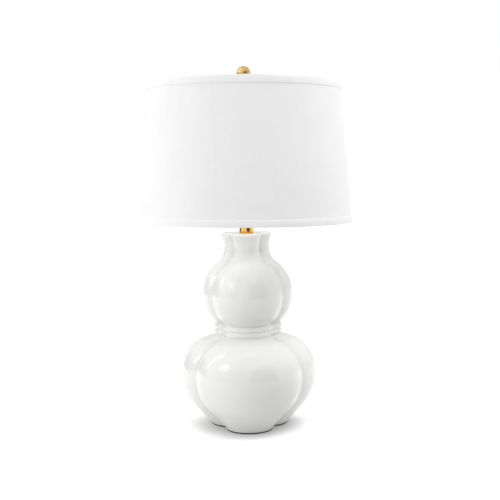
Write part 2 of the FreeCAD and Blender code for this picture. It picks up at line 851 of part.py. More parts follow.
def harp_bow():
    path = free_sketch("harp_path", harp_route(), closed=False)
    section = doc.addObject("Part::Circle", "harp_section")
    bind(section, Radius=s.harp_wire_radius)
    place(section, z=wire_top, turn=(UNIT_Y, 90.0))
    leg = doc.addObject("Part::Sweep", "harp_leg")
    leg.Sections = [section]
    doc.recompute()
    leg.Spine = (path, ["Edge%d" % number for number in range(1, len(path.Shape.Edges) + 1)])
    leg.Solid = True
    sleeve_radius = s.tongue_radius + s.running_clearance + s.harp_sleeve_wall
    sleeve = cylinder("harp_sleeve", sleeve_radius, s.harp_sleeve_length, s.harp_foot_spread, z=harp_foot)
    half = fuse("harp_half", [leg, sleeve])
    boss = cylinder("harp_boss", s.harp_boss_radius, s.harp_boss_height, z=boss_bottom)
    blank = fuse("harp_blank", [half, mirrored("harp_other_half", half, UNIT_X), boss])
    holes = [cylinder("stud_hole", s.stud_pin_radius + s.running_clearance, s.harp_boss_height,
                      z=boss_bottom)]
    for side in (-1.0, 1.0):
        holes.append(cylinder("tongue_hole", s.tongue_radius + s.running_clearance,
                              s.tongue_length + s.resting_gap, s.harp_foot_spread * side, z=harp_foot))
    keep(cut("harp_bow", blank, holes), "harp_bow")
    return sleeve_radius


def ferrules(sleeve_radius):
    for side, label in ((-1.0, "ferrule_left"), (1.0, "ferrule_right")):
        inside = sleeve_radius + s.running_clearance
        outside = inside + s.ferrule_wall
        top = harp_foot + s.ferrule_length
        ferrule = turned(label, [(inside, harp_foot), (outside, harp_foot),
                                 (outside, top), (inside, top)])
        keep(place(ferrule, x=s.harp_foot_spread * side), label)


def harp_stud():
    head_top = boss_bottom - s.resting_gap
    head_bottom = head_top - s.stud_head_height
    stud_top = seat_top + s.stud_length
    outline = [
        (ZERO, head_bottom),
        (s.stud_head_radius, head_bottom),
        (s.stud_head_radius, head_top),
        (s.stud_pin_radius, head_top),
        (s.stud_pin_radius, boss_top),
        (s.seat_under_radius, boss_top),
        (s.seat_radius, seat_top - s.seat_rim_height),
        (s.seat_radius, seat_top),
        (s.stud_radius, seat_top),
        (s.stud_radius, stud_top - s.stud_chamfer),
        (s.stud_radius - s.stud_chamfer, stud_top),
        (ZERO, stud_top),
    ]
    keep(turned("harp_stud", outline), "harp_stud")


# ---------------------------------------------------------------------------------------------
# Shade and its frame
# ---------------------------------------------------------------------------------------------
def shade_radius(z):
    """The cover's outer radius at a level."""
    share = (shade_top - z) / s.shade_height
    return s.shade_top_radius + (s.shade_bottom_radius - s.shade_top_radius) * share


def cone_shell(label, outward, thickness):
    """A layer of the shade whose outside stands this far out from the cover's outside."""
    top, bottom = s.shade_top_radius + outward, s.shade_bottom_radius + outward
    outline = [(bottom - thickness, shade_bottom), (bottom, shade_bottom),
               (top, shade_top), (top - thickness, shade_top)]
    keep(turned(label, outline), label)


def trim(label, edge, width, inward):
    """A folded band round an edge: outside face, over the edge, and a short turn-in."""
    thick = s.trim_thickness
    skin = s.cover_thickness + s.liner_thickness
    far = edge + width * inward
    turn = edge + s.trim_turn_in * inward
    over = edge - thick * inward
    outline = [
        (shade_radius(far), far),
        (shade_radius(far) + thick, far),
        (shade_radius(over) + thick, over),
        (shade_radius(over) - skin - thick, over),
        (shade_radius(turn) - skin - thick, turn),
        (shade_radius(turn) - skin, turn),
        (shade_radius(edge) - skin, edge),
        (shade_radius(edge), edge),
    ]
    keep(turned(label, outline), label)


def shade_frame():
    skin = s.cover_thickness + s.liner_thickness
    reach = s.ring_wire_radius + s.ring_gap
    slope = (s.shade_bottom_radius - s.shade_top_radius) / s.shade_height
    lean = root(slope * slope + ONE)
    rings = {}
    for label, edge, inward in (("top_ring", shade_top, -1.0), ("bottom_ring", shade_bottom, 1.0)):
        z = edge + (s.trim_turn_in + reach) * inward
        path = shade_radius(z) - skin - reach * lean
        wire = doc.addObject("Part::Torus", label)
        bind(wire, Radius1=path, Radius2=s.ring_wire_radius)
        rings[label] = keep(place(wire, z=z), label)
    hub = ring("spider_hub", s.stud_radius + s.hub_clearance, s.hub_radius, seat_top, s.hub_thickness)
    ring_z = shade_top - s.trim_turn_in - reach
    hub_z = seat_top + s.hub_thickness / 2.0
    ring_path = shade_radius(ring_z) - skin - reach * lean
    arm_start = s.hub_radius - s.arm_radius
    arms = []
    for angle in ARM_ANGLES:
        across = math.cos(math.radians(angle))
        along = math.sin(math.radians(angle))
        arm = doc.addObject("Part::Sweep", "spider_arm")
        line = doc.addObject("Part::Line", "arm_line")
        bind(line, X1=arm_start * across, Y1=arm_start * along, Z1=hub_z)
        bind(line, X2=ring_path * across, Y2=ring_path * along, Z2=ring_z)
        section = doc.addObject("Part::Circle", "arm_section")
        bind(section, Radius=s.arm_radius)
        place(section, arm_start * across, arm_start * along, hub_z,
              turn=(FreeCAD.Vector(-along, across, 0.0), 90.0))
        arm.Sections = [section]
        arm.Spine = (line, ["Edge1"])
        arm.Solid = True
        arms.append(arm)
    keep(cut("spider_arms", fuse("arm_blanks", arms), [hub, rings["top_ring"]]), "spider_arms")


def shade():
    cone_shell("shade_cover", ZERO, s.cover_thickness)
    cone_shell("shade_liner", -s.cover_thickness, s.liner_thickness)
    trim("top_trim", shade_top, s.top_trim_width, -1.0)
    trim("bottom_trim", shade_bottom, s.bottom_trim_width, 1.0)
    shade_frame()


# ---------------------------------------------------------------------------------------------
# Finial
# ---------------------------------------------------------------------------------------------
def finial():
    insert_top = hub_top + s.insert_length
    bore_top = hub_top + s.insert_bore_depth
    bore = s.stud_radius + s.thread_clearance
    keep(turned("finial_insert", [
        (bore, hub_top), (s.insert_radius, hub_top), (s.insert_radius, insert_top),
        (ZERO, insert_top), (ZERO, bore_top), (bore, bore_top),
    ]), "finial_insert")
    cup_drop = root(s.ball_radius * s.ball_radius - s.finial_cup_radius * s.finial_cup_radius)
    seat_drop = root(s.ball_radius * s.ball_radius - s.insert_radius * s.insert_radius)
    rim = (s.finial_base_radius, hub_top + s.finial_base_height)
    narrow = (s.finial_waist_radius, hub_top + s.finial_waist_height)
    keep(turned("finial_base", [
        (s.insert_radius, hub_top),
        (s.finial_base_radius, hub_top),
        rim,
        bulging(rim, narrow, -s.finial_hollow_curve),
        narrow,
        (s.finial_cup_radius, ball_z - cup_drop),
        Via((s.finial_cup_radius + s.insert_radius) / 2.0, ball_z - mid_drop()),
        (s.insert_radius, ball_z - seat_drop),
    ]), "finial_base")
    ball_bottom = ball_z - seat_drop
    keep(turned("finial_ball", [
        (s.insert_radius, ball_bottom),
        Via(s.ball_radius, ball_z),
        (ZERO, ball_z + s.ball_radius),
        (ZERO, insert_top),
        (s.insert_radius, insert_top),
    ]), "finial_ball")


def mid_drop():
    """How far below the ball's middle its surface lies, halfway across the cup's seat."""
    across = (s.finial_cup_radius + s.insert_radius) / 2.0
    return root(s.ball_radius * s.ball_radius - across * across)


# ---------------------------------------------------------------------------------------------
# Bulb
# ---------------------------------------------------------------------------------------------
def globe_side(neck, neck_z, radius, widest):
    """The globe's side from its neck to the middle of its top."""
    low, wide = (neck, neck_z), (radius, widest)
    return [
        low,
        bulging(low, wide, s.bulb_flank_bulge),
        wide,
        Via(radius * DIAGONAL, widest + radius * DIAGONAL),
        (ZERO, widest + radius),
    ]


def bulb():
    tip_top = bulb_bottom + s.bulb_tip_height
    cap_bottom = bulb_bottom + s.bulb_insulator_height
    cap_end = cap_bottom + s.bulb_cap_length
    crest, valley = s.bulb_cap_radius, s.bulb_cap_radius - s.bulb_thread_depth
    ring("bulb_tip", ZERO, s.bulb_tip_radius, bulb_bottom, s.bulb_tip_height)
    keep(turned("bulb_insulator", [
        (ZERO, tip_top), (s.bulb_tip_radius, tip_top), (s.bulb_insulator_radius, cap_bottom),
        (ZERO, cap_bottom),
    ]), "bulb_insulator")

    outline = [(ZERO, cap_bottom), (s.bulb_insulator_radius, cap_bottom)]
    level = cap_bottom + s.bulb_thread_pitch / 2.0
    for turn_number in range(BULB_THREADS):
        low = level + s.bulb_thread_pitch * turn_number
        outline.append((valley, low))
        outline.append((crest, low + s.bulb_thread_pitch / 2.0))
    outline.append((valley, level + s.bulb_thread_pitch * BULB_THREADS))
    outline.append((valley, cap_end))
    outline.append((ZERO, cap_end))
    keep(turned("bulb_cap", outline), "bulb_cap")

    neck = valley - s.bulb_thread_depth
    widest = bulb_bottom + s.bulb_widest_height
    outside = globe_side(neck, cap_end, s.bulb_radius, widest)
    inside = globe_side(neck - s.bulb_glass, cap_end, s.bulb_radius - s.bulb_glass, widest)
    keep(turned("bulb_globe", outside + inside[::-1]), "bulb_globe")

    stem_top = cap_end + s.bulb_stem_length
    keep(turned("bulb_stem", [
        (ZERO, cap_end), (s.bulb_stem_radius, cap_end), (s.bulb_stem_top_radius, stem_top),
        (ZERO, stem_top),
    ]), "bulb_stem")
    wire = s.filament_wire_radius
    supports = []
    ring_z = stem_top + s.filament_ring_radius
    for side in (-0.5, 0.5):
        supports.append(cylinder("filament_support", wire, s.filament_ring_radius,
                                 x=s.filament_support_spacing * side, z=stem_top))
    supports.append(cylinder("filament_bar", wire, s.filament_ring_radius * 2.0,
                             x=-s.filament_ring_radius, z=ring_z, turn=(UNIT_Y, 90.0)))
    keep(fuse("bulb_filament", supports), "bulb_filament")


gourd_body()
base_felt()
foot_fasteners()
lamp_pipe()
cord_bushing()
brass_neck()
harp_saddle()
socket_cap()
switch(socket())
ferrules(harp_bow())
harp_stud()
shade()
finial()
bulb()
doc.recompute()

# ---------------------------------------------------------------------------------------------
# Check everything, then write one file for each sub-part
# ---------------------------------------------------------------------------------------------
for item in doc.Objects:
    for word in ("Invalid", "Error"):
        if word in item.State:
            raise RuntimeError("%s is %s" % (item.Label, item.State))
for item in sub_parts:
    if item.Shape.isNull() or not item.Shape.isValid():
        raise RuntimeError("%s has no valid shape" % item.Label)
os.makedirs("parts", exist_ok=True)
for item in sub_parts:
    item.Shape.exportStep("parts/%s.step" % item.Label)
    print("%-18s solids %d  volume %.1f" % (item.Label, len(item.Shape.Solids), item.Shape.Volume))
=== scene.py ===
"""Looks of the double gourd table lamp: a glazed body in three lobes, brass fittings and a drum shade.

Meshes are in metres in the lamp's own frame: +Z up, the origin on the table under the pipe, and the
lobe that faces the viewer along -Y.  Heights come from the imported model; the sizes of each piece are
fields of its class.
"""

import json
import logging
import math
from dataclasses import dataclass
from enum import Enum
from functools import cache
from itertools import accumulate
from typing import Callable, Optional, Sequence

import bmesh
import bpy
import numpy as np
from mathutils import Matrix, Quaternion, Vector, noise
from mathutils.kdtree import KDTree

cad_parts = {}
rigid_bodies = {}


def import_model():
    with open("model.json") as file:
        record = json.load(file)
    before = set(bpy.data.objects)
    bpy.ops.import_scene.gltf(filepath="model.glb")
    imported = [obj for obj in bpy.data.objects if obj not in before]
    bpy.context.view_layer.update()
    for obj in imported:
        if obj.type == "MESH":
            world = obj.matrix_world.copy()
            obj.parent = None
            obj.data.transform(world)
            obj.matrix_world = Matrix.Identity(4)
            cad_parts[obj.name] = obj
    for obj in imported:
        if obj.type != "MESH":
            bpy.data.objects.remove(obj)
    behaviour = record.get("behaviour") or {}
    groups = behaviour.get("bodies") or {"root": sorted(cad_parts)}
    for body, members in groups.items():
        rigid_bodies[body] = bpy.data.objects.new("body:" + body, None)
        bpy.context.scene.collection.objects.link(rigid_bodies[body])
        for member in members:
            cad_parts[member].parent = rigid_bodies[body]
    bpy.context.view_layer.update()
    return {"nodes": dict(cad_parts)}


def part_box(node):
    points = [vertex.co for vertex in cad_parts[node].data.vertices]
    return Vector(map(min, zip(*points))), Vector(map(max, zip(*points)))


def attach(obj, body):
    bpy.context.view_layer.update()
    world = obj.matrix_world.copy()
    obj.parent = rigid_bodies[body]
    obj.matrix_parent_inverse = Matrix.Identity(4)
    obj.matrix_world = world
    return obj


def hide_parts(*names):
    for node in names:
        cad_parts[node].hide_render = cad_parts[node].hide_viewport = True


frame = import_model()

MM = 0.001
FRONT = -math.pi / 2.0
BACK = math.pi / 2.0
# How far the middle of a quarter circle stands off its chord, as a share of the radius.
QUARTER_BULGE = 1.0 - math.sqrt(0.5)

log = logging.getLogger("gourd_lamp")


# ---- Outlines and meshes ----
@dataclass(frozen=True)
class Bend:
    """A corner of an outline that an arc leads to.

    Args:
        across: The corner's distance from the axis.
        up: The corner's height.
        bulge: How far the arc stands off its chord, outwards where the outline runs upwards.
    """

    across: float
    up: float
    bulge: float


Piece = bpy.types.Object
Point = tuple[float, float]
Ripple = Callable[[float, float, float], float]


def traced(corners: Sequence[Point | Bend], step: float) -> list[Point]:
    """Points along an outline of straight runs and arcs.

    Args:
        corners: The outline's corners, each a point or the end of an arc.
        step: The longest way from one point to the next.

    Returns:
        The points, with the corners among them.
    """
    points: list[Point] = []
    for corner in corners:
        stop = (corner.across, corner.up) if isinstance(corner, Bend) else corner
        if not points:
            points.append(stop)
            continue
        start = points[-1]
        across, up = stop[0] - start[0], stop[1] - start[1]
        chord = math.hypot(across, up)
        count = max(1, math.ceil(chord / step))
        bulge = corner.bulge if isinstance(corner, Bend) else 0.0
        if abs(bulge) < 1e-9:
            points += [(start[0] + across * i / count, start[1] + up * i / count)
                       for i in range(1, count + 1)]
            continue
        along = (across / chord, up / chord)
        outward = (up / chord, -across / chord)
        side = math.copysign(1.0, bulge)
        radius = (chord * chord / 4.0 + bulge * bulge) / (2.0 * abs(bulge))
        sink = side * (abs(bulge) - radius)
        centre = ((start[0] + stop[0]) / 2.0 + outward[0] * sink,
                  (start[1] + stop[1]) / 2.0 + outward[1] * sink)
        half = 2.0 * math.atan2(2.0 * abs(bulge), chord)
        count = max(4, math.ceil(2.0 * half * radius / step))
        for i in range(1, count + 1):
            turn = half * (2.0 * i / count - 1.0)
            out, on = side * radius * math.cos(turn), radius * math.sin(turn)
            points.append((centre[0] + outward[0] * out + along[0] * on,
                           centre[1] + outward[1] * out + along[1] * on))
    return points


def eased(corners: Sequence[Point], radius: float, steps: int = 4, closed: bool = False) -> list[Point]:
    """An outline of straight runs with its corners rounded.

    Args:
        corners: The outline's corners.
        radius: How far back from each corner the rounding starts, at most.
        steps: The number of short runs in each rounded corner.
        closed: Whether the last corner joins the first, so that these two are rounded as well.

    Returns:
        The rounded outline.
    """
    rounded: list[Point] = []
    last = len(corners) - 1
    for index, corner in enumerate(corners):
        if not closed and index in (0, last):
            rounded.append(corner)
            continue
        before = Vector(corners[index - 1])
        after = Vector(corners[(index + 1) % len(corners)])
        here = Vector(corner)
        back = min(radius, (before - here).length * 0.45, (after - here).length * 0.45)
        start = here + (before - here).normalized() * back
        stop = here + (after - here).normalized() * back
        for i in range(steps + 1):
            share = i / steps
            point = start.lerp(here, share).lerp(here.lerp(stop, share), share)
            rounded.append((point.x, point.y))
    return rounded


def ramp(value: float, run: float) -> float:
    """A rise from 0 to 1 over a run, level before and after it."""
    return min(1.0, max(0.0, value / run))


def smooth(share: float) -> float:
    """A share from 0 to 1, eased so that it starts and ends level."""
    return share * share * (3.0 - 2.0 * share)


def outwards(turn: float) -> Vector:
    """The level way out from the axis in a direction."""
    return Vector((math.cos(turn), math.sin(turn), 0.0))


def linked(name: str, data: bpy.types.ID) -> Piece:
    """A new object in the scene.

    Args:
        name: The object's name.
        data: Its mesh, lamp or camera.

    Returns:
        The object.
    """
    item = bpy.data.objects.new(name, data)
    bpy.context.scene.collection.objects.link(item)
    return item


def made(name: str, vertices: np.ndarray, faces: list[tuple[int, ...]], crease: float = 40.0) -> Piece:
    """A mesh object with outward faces, smooth but for edges sharper than the crease.

    Args:
        name: The piece's name.
        vertices: Its points, one row each.
        faces: The points of each face.
        crease: The angle in degrees above which an edge stays sharp.

    Returns:
        The new object, linked to the scene.
    """
    mesh = bpy.data.meshes.new(name)
    mesh.from_pydata(vertices.tolist(), [], faces)
    piece = linked(name, mesh)
    tidy_faces(piece, crease)
    return piece


def tidy_faces(piece: Piece, crease: float = 40.0) -> None:
    """Join double points, turn every face outwards and shade the piece smooth.

    Args:
        piece: The mesh object.
        crease: The angle in degrees above which an edge stays sharp.
    """
    work = bmesh.new()
    work.from_mesh(piece.data)
    bmesh.ops.remove_doubles(work, verts=work.verts, dist=1e-7)
    bmesh.ops.dissolve_degenerate(work, edges=work.edges, dist=1e-8)
    bmesh.ops.recalc_face_normals(work, faces=work.faces)
    work.to_mesh(piece.data)
    work.free()
    piece.data.polygons.foreach_set("use_smooth", [True] * len(piece.data.polygons))
    piece.data.set_sharp_from_angle(angle=math.radians(crease))
    piece.data.update()


def skinned(name: str, grid: np.ndarray, join_rows: bool = False, join_columns: bool = True,
            crease: float = 40.0) -> Piece:
    """A mesh over a grid of points.

    Args:
        name: The piece's name.
        grid: Points as rows, columns and coordinates.
        join_rows: Whether the last row joins the first.
        join_columns: Whether the last column joins the first.
        crease: The angle in degrees above which an edge stays sharp.

    Returns:
        The new object.
    """
    rows, columns, _ = grid.shape
    faces = []
    for row in range(rows if join_rows else rows - 1):
        after = (row + 1) % rows
        for column in range(columns if join_columns else columns - 1):
            beside = (column + 1) % columns
            faces.append((row * columns + column, row * columns + beside,
                          after * columns + beside, after * columns + column))
    return made(name, grid.reshape(-1, 3), faces, crease)


def filled(outline: Sequence[Point], ring: bool, step: float = 1.5 * MM) -> list[Point]:
    """An outline with points added along its long runs.

    Args:
        outline: The outline's corners.
        ring: Whether the last corner joins the first.
        step: How far apart the points are, about.

    Returns:
        The points.
    """
    ends = list(outline[1:]) + ([outline[0]] if ring else [])
    points = [outline[0]]
    for start, stop in zip(outline, ends):
        count = max(1, round(math.dist(start, stop) / step))
        across, up = stop[0] - start[0], stop[1] - start[1]
        for i in range(1, count + 1):
            points.append((start[0] + across * i / count, start[1] + up * i / count))
    return points[:-1] if ring else points


def turned(name: str, outline: Sequence[Point], columns: int = 96, ripple: Optional[Ripple] = None,
           ring: bool = False, crease: float = 40.0) -> Piece:
    """A piece turned about the upright axis.

    Args:
        name: The piece's name.
        outline: Its radius and height along the section.
        columns: The number of points round the axis.
        ripple: What to add to the radius, from the radius, the height and the angle.
        ring: Whether the section is closed on itself, with a hole along the axis.
        crease: The angle in degrees above which an edge stays sharp.

    Returns:
        The new object.
    """
    outline = filled(outline, ring)
    angles = FRONT + np.arange(columns) * math.tau / columns
    grid = np.zeros((len(outline), columns, 3))
    for row, (radius, up) in enumerate(outline):
        for column, angle in enumerate(angles):
            reach = radius
            if ripple and radius > 1e-6:
                reach += ripple(radius, up, angle)
            grid[row, column] = (reach * math.cos(angle), reach * math.sin(angle), up)
    return skinned(name, grid, join_rows=ring, crease=crease)


def along(name: str, path: Sequence[Vector], radius: float, sides: int = 16, joined: bool = False,
          round_end: float = 0.5) -> Piece:
    """A round wire along a path.

    Args:
        name: The piece's name.
        path: The points of its middle line.
        radius: The wire's radius.
        sides: The number of points round the wire.
        joined: Whether the path's last point joins its first.
        round_end: How far each end is domed, as a share of the radius.

    Returns:
        The new object.
    """
    count = len(path)
    ways = []
    for i in range(count):
        before = path[i - 1] if joined or i else path[i]
        after = path[(i + 1) % count] if joined or i + 1 < count else path[i]
        ways.append((after - before).normalized())
    side = ways[0].orthogonal().normalized()
    rings = []
    for point, way in zip(path, ways):
        side = (side - way * side.dot(way)).normalized()
        other = way.cross(side)
        rings.append((point, side.copy(), other))

    def circle(middle: Vector, one: Vector, two: Vector, reach: float) -> list[Vector]:
        """The points of one cross section."""
        return [middle + (one * math.cos(turn) + two * math.sin(turn)) * reach
                for turn in (math.tau * k / sides for k in range(sides))]

    rows = [circle(*ring, radius) for ring in rings]
    if not joined:
        for place, way, insert in ((0, -ways[0], lambda row: rows.insert(0, row)),
                                   (-1, ways[-1], rows.append)):
            point, one, two = rings[place]
            for share in (0.4, 0.75, 1.0):
                lift = radius * round_end * math.sin(share * BACK)
                reach = radius * math.cos(share * BACK)
                insert(circle(point + way * lift, one, two, max(reach, 0.0)))
    return skinned(name, np.array([[tuple(p) for p in row] for row in rows]), join_rows=joined)


def bent(corners: Sequence[Vector], radii: Sequence[float], step: float) -> list[Vector]:
    """A path of straight runs joined by tangent arcs.

    Args:
        corners: The ends and corners of the path.
        radii: The radius of the arc at each inner corner.
        step: The longest way from one point to the next.

    Returns:
        The points of the path.
    """
    path = [corners[0]]

    def run_to(stop: Vector) -> None:
        """Add points along a straight run."""
        start = path[-1]
        count = max(1, math.ceil((stop - start).length / (step * 3.0)))
        path.extend(start.lerp(stop, i / count) for i in range(1, count + 1))

    for before, corner, after, radius in zip(corners, corners[1:], corners[2:], radii):
        back = (before - corner).normalized()
        on = (after - corner).normalized()
        half = back.angle(on) / 2.0
        tangent = radius / math.tan(half)
        centre = corner + (back + on).normalized() * (radius / math.sin(half))
        run_to(corner + back * tangent)
        start = path[-1] - centre
        swing = math.pi - 2.0 * half
        axis = start.cross(corner + on * tangent - centre).normalized()
        count = max(3, math.ceil(swing * radius / step))
        for i in range(1, count + 1):
            path.append(centre + Quaternion(axis, swing * i / count) @ start)
    run_to(corners[-1])
    return path


def block(name: str, low: Vector, high: Vector, round_edge: float) -> Piece:
    """A rectangular piece with rounded edges.

    Args:
        name: The piece's name.
        low: Its lowest corner.
        high: Its highest corner.
        round_edge: The radius of its edges.

    Returns:
        The new object.
    """
    work = bmesh.new()
    bmesh.ops.create_cube(work, size=1.0)
    size = high - low
    for vertex in work.verts:
        vertex.co = (low + high) / 2.0 + Vector(vertex.co[k] * size[k] for k in range(3))
    bmesh.ops.bevel(work, geom=work.edges, offset=round_edge, segments=3, affect="EDGES", profile=0.5)
    mesh = bpy.data.meshes.new(name)
    work.to_mesh(mesh)
    work.free()
    piece = linked(name, mesh)
    tidy_faces(piece)
    return piece


def moved(piece: Piece, matrix: Matrix) -> Piece:
    """The piece with its mesh, not its object, put through a matrix."""
    piece.data.transform(matrix)
    piece.data.update()
    return piece


def at(x: float = 0.0, y: float = 0.0, z: float = 0.0) -> Matrix:
    """A shift."""
    return Matrix.Translation((x, y, z))


def joined(name: str, parts: Sequence[Piece]) -> Piece:
    """Several meshes as one piece.

    Args:
        name: The new piece's name.
        parts: The pieces to join, which are removed.

    Returns:
        The new object.
    """
    vertices: list[tuple[float, float, float]] = []
    faces: list[tuple[int, ...]] = []
    for part in parts:
        start = len(vertices)
        vertices += [tuple(v.co) for v in part.data.vertices]
        faces += [tuple(start + i for i in polygon.vertices) for polygon in part.data.polygons]
        bpy.data.objects.remove(part)
    return made(name, np.array(vertices), faces)


@cache
def span(node: str) -> tuple[float, float]:
    """The lowest and highest z of a CAD node."""
    low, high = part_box(node)
    return low.z, high.z


# A quarter turn that lays an upright piece down, its top towards the back or the front.
TO_BACK = Matrix.Rotation(-BACK, 4, "X")
TO_FRONT = Matrix.Rotation(BACK, 4, "X")


# ---- Shader trees and the effects that several finishes use ----
Value = float | bpy.types.NodeSocket
Colour = tuple[float, float, float]


class Tree:
    """A node tree with short ways to fill it."""

    def __init__(self, tree: bpy.types.NodeTree) -> None:
        """Start from an empty tree."""
        self.tree = tree
        tree.nodes.clear()

    @classmethod
    def of_material(cls, name: str) -> tuple["Tree", bpy.types.Material]:
        """A new material and its empty tree."""
        material = bpy.data.materials.new(name)
        material.use_nodes = True
        return cls(material.node_tree), material

    def add(self, kind: str, **settings: object) -> bpy.types.Node:
        """A new node with some of its own settings."""
        node = self.tree.nodes.new(kind)
        for name, value in settings.items():
            setattr(node, name, value)
        return node

    def feed(self, socket: bpy.types.NodeSocket, value: object) -> None:
        """Link a socket or set its constant."""
        if isinstance(value, bpy.types.NodeSocket):
            self.tree.links.new(value, socket)
        elif isinstance(value, tuple) and len(value) == 3 and socket.type == "RGBA":
            socket.default_value = (*value, 1.0)
        else:
            socket.default_value = value

    def fill(self, node: bpy.types.Node, **values: object) -> None:
        """Feed a node's inputs.

        Args:
            node: The node.
            values: What each input takes, by name, with spaces written as underscores.
        """
        for name, value in values.items():
            self.feed(node.inputs[name.replace("_", " ")], value)

    def sum_of(self, operation: str, *values: Value) -> bpy.types.NodeSocket:
        """The result of a Math node."""
        node = self.add("ShaderNodeMath", operation=operation)
        for socket, value in zip(node.inputs, values):
            self.feed(socket, value)
        return node.outputs[0]

    def times(self, first: Value, second: Value) -> bpy.types.NodeSocket:
        """The product of two values."""
        return self.sum_of("MULTIPLY", first, second)

    def plus(self, first: Value, second: Value) -> bpy.types.NodeSocket:
        """The sum of two values."""
        return self.sum_of("ADD", first, second)

    def less(self, first: Value, second: Value) -> bpy.types.NodeSocket:
        """The first value less the second."""
        return self.sum_of("SUBTRACT", first, second)

    def mapped(self, value: Value, low: float, high: float, new_low: Value = 0.0,
               new_high: Value = 1.0) -> bpy.types.NodeSocket:
        """A value moved from one range to another and clamped there."""
        node = self.add("ShaderNodeMapRange", clamp=True, interpolation_type="SMOOTHSTEP")
        for socket, number in zip(node.inputs, (value, low, high, new_low, new_high)):
            self.feed(socket, number)
        return node.outputs[0]

    def noise(self, place: Value, scale: Value, detail: float = 2.0,
              rough: float = 0.5) -> bpy.types.NodeSocket:
        """Soft noise from 0 to 1."""
        node = self.add("ShaderNodeTexNoise")
        self.fill(node, Vector=place, Scale=scale, Detail=detail, Roughness=rough)
        return node.outputs[0]

    def mixed(self, factor: Value, first: object, second: object) -> bpy.types.NodeSocket:
        """A mix of two colours."""
        node = self.add("ShaderNodeMix", data_type="RGBA")
        self.feed(node.inputs[0], factor)
        self.feed(node.inputs[6], first)
        self.feed(node.inputs[7], second)
        return node.outputs[2]

    def vector(self, x: Value = 0.0, y: Value = 0.0, z: Value = 0.0) -> bpy.types.NodeSocket:
        """Three values as one vector."""
        node = self.add("ShaderNodeCombineXYZ")
        for socket, value in zip(node.inputs, (x, y, z)):
            self.feed(socket, value)
        return node.outputs[0]

    def use(self, effect: "Effect", **values: object) -> dict[str, bpy.types.NodeSocket]:
        """Place a shared effect in this tree.

        Args:
            effect: Which effect.
            values: Its inputs by name, with spaces written as underscores.

        Returns:
            Its outputs by name.
        """
        node = self.add("ShaderNodeGroup", node_tree=effect_tree(effect))
        self.fill(node, **values)
        return {socket.name: socket for socket in node.outputs}


class Effect(Enum):
    """An effect that more than one finish uses."""

    ROUND_THE_AXIS = "round_the_axis"
    UNEVEN_COLOUR = "uneven_colour"
    WEAVE = "weave"
    TURNING_MARKS = "turning_marks"
    WORN_EDGES = "worn_edges"
    DUST = "dust"


_effects: dict[Effect, bpy.types.NodeTree] = {}


def effect_tree(effect: Effect) -> bpy.types.NodeTree:
    """The node group of an effect, built the first time that it is asked for."""
    if effect not in _effects:
        _effects[effect] = EFFECT_MAKERS[effect]()
    return _effects[effect]


def new_group(name: str, inputs: Sequence[tuple[str, str, object]],
              outputs: Sequence[tuple[str, str]]) -> tuple[Tree, dict, bpy.types.Node]:
    """An empty node group.

    Args:
        name: The group's name.
        inputs: Name, kind and default of each input.
        outputs: Name and kind of each output.

    Returns:
        The tree, its input sockets by name, and the node that takes its outputs.
    """
    group = bpy.data.node_groups.new(name, "ShaderNodeTree")
    tree = Tree(group)
    for label, kind, default in inputs:
        socket = group.interface.new_socket(label, in_out="INPUT", socket_type="NodeSocket" + kind)
        if default is not None:
            socket.default_value = default
    for label, kind in outputs:
        group.interface.new_socket(label, in_out="OUTPUT", socket_type="NodeSocket" + kind)
    start = tree.add("NodeGroupInput")
    end = tree.add("NodeGroupOutput")
    return tree, {socket.name: socket for socket in start.outputs}, end


def make_round_the_axis() -> bpy.types.NodeTree:
    """Metres round an upright axis and metres up, both from a position."""
    tree, given, end = new_group(
        "round_the_axis",
        [("Position", "Vector", None), ("Radius", "Float", 0.1)],
        [("Around", "Float"), ("Up", "Float")])
    split = tree.add("ShaderNodeSeparateXYZ")
    tree.feed(split.inputs[0], given["Position"])
    angle = tree.sum_of("ARCTAN2", split.outputs[0], tree.times(split.outputs[1], -1.0))
    tree.fill(end, Around=tree.times(angle, given["Radius"]), Up=split.outputs[2])
    return tree.tree


def make_uneven_colour() -> bpy.types.NodeTree:
    """A colour that drifts softly towards another one."""
    tree, given, end = new_group(
        "uneven_colour",
        [("Position", "Vector", None), ("Base", "Color", None), ("Other", "Color", None),
         ("Scale", "Float", 20.0), ("Amount", "Float", 0.5)],
        [("Colour", "Color"), ("Mask", "Float")])
    wide = tree.noise(given["Position"], given["Scale"], 3.0, 0.55)
    fine = tree.noise(given["Position"], tree.times(given["Scale"], 5.3), 2.0)
    both = tree.plus(tree.times(wide, 0.7), tree.times(fine, 0.3))
    mask = tree.mapped(both, 0.36, 0.64)
    part = tree.times(mask, given["Amount"])
    tree.fill(end, Colour=tree.mixed(part, given["Base"], given["Other"]), Mask=mask)
    return tree.tree


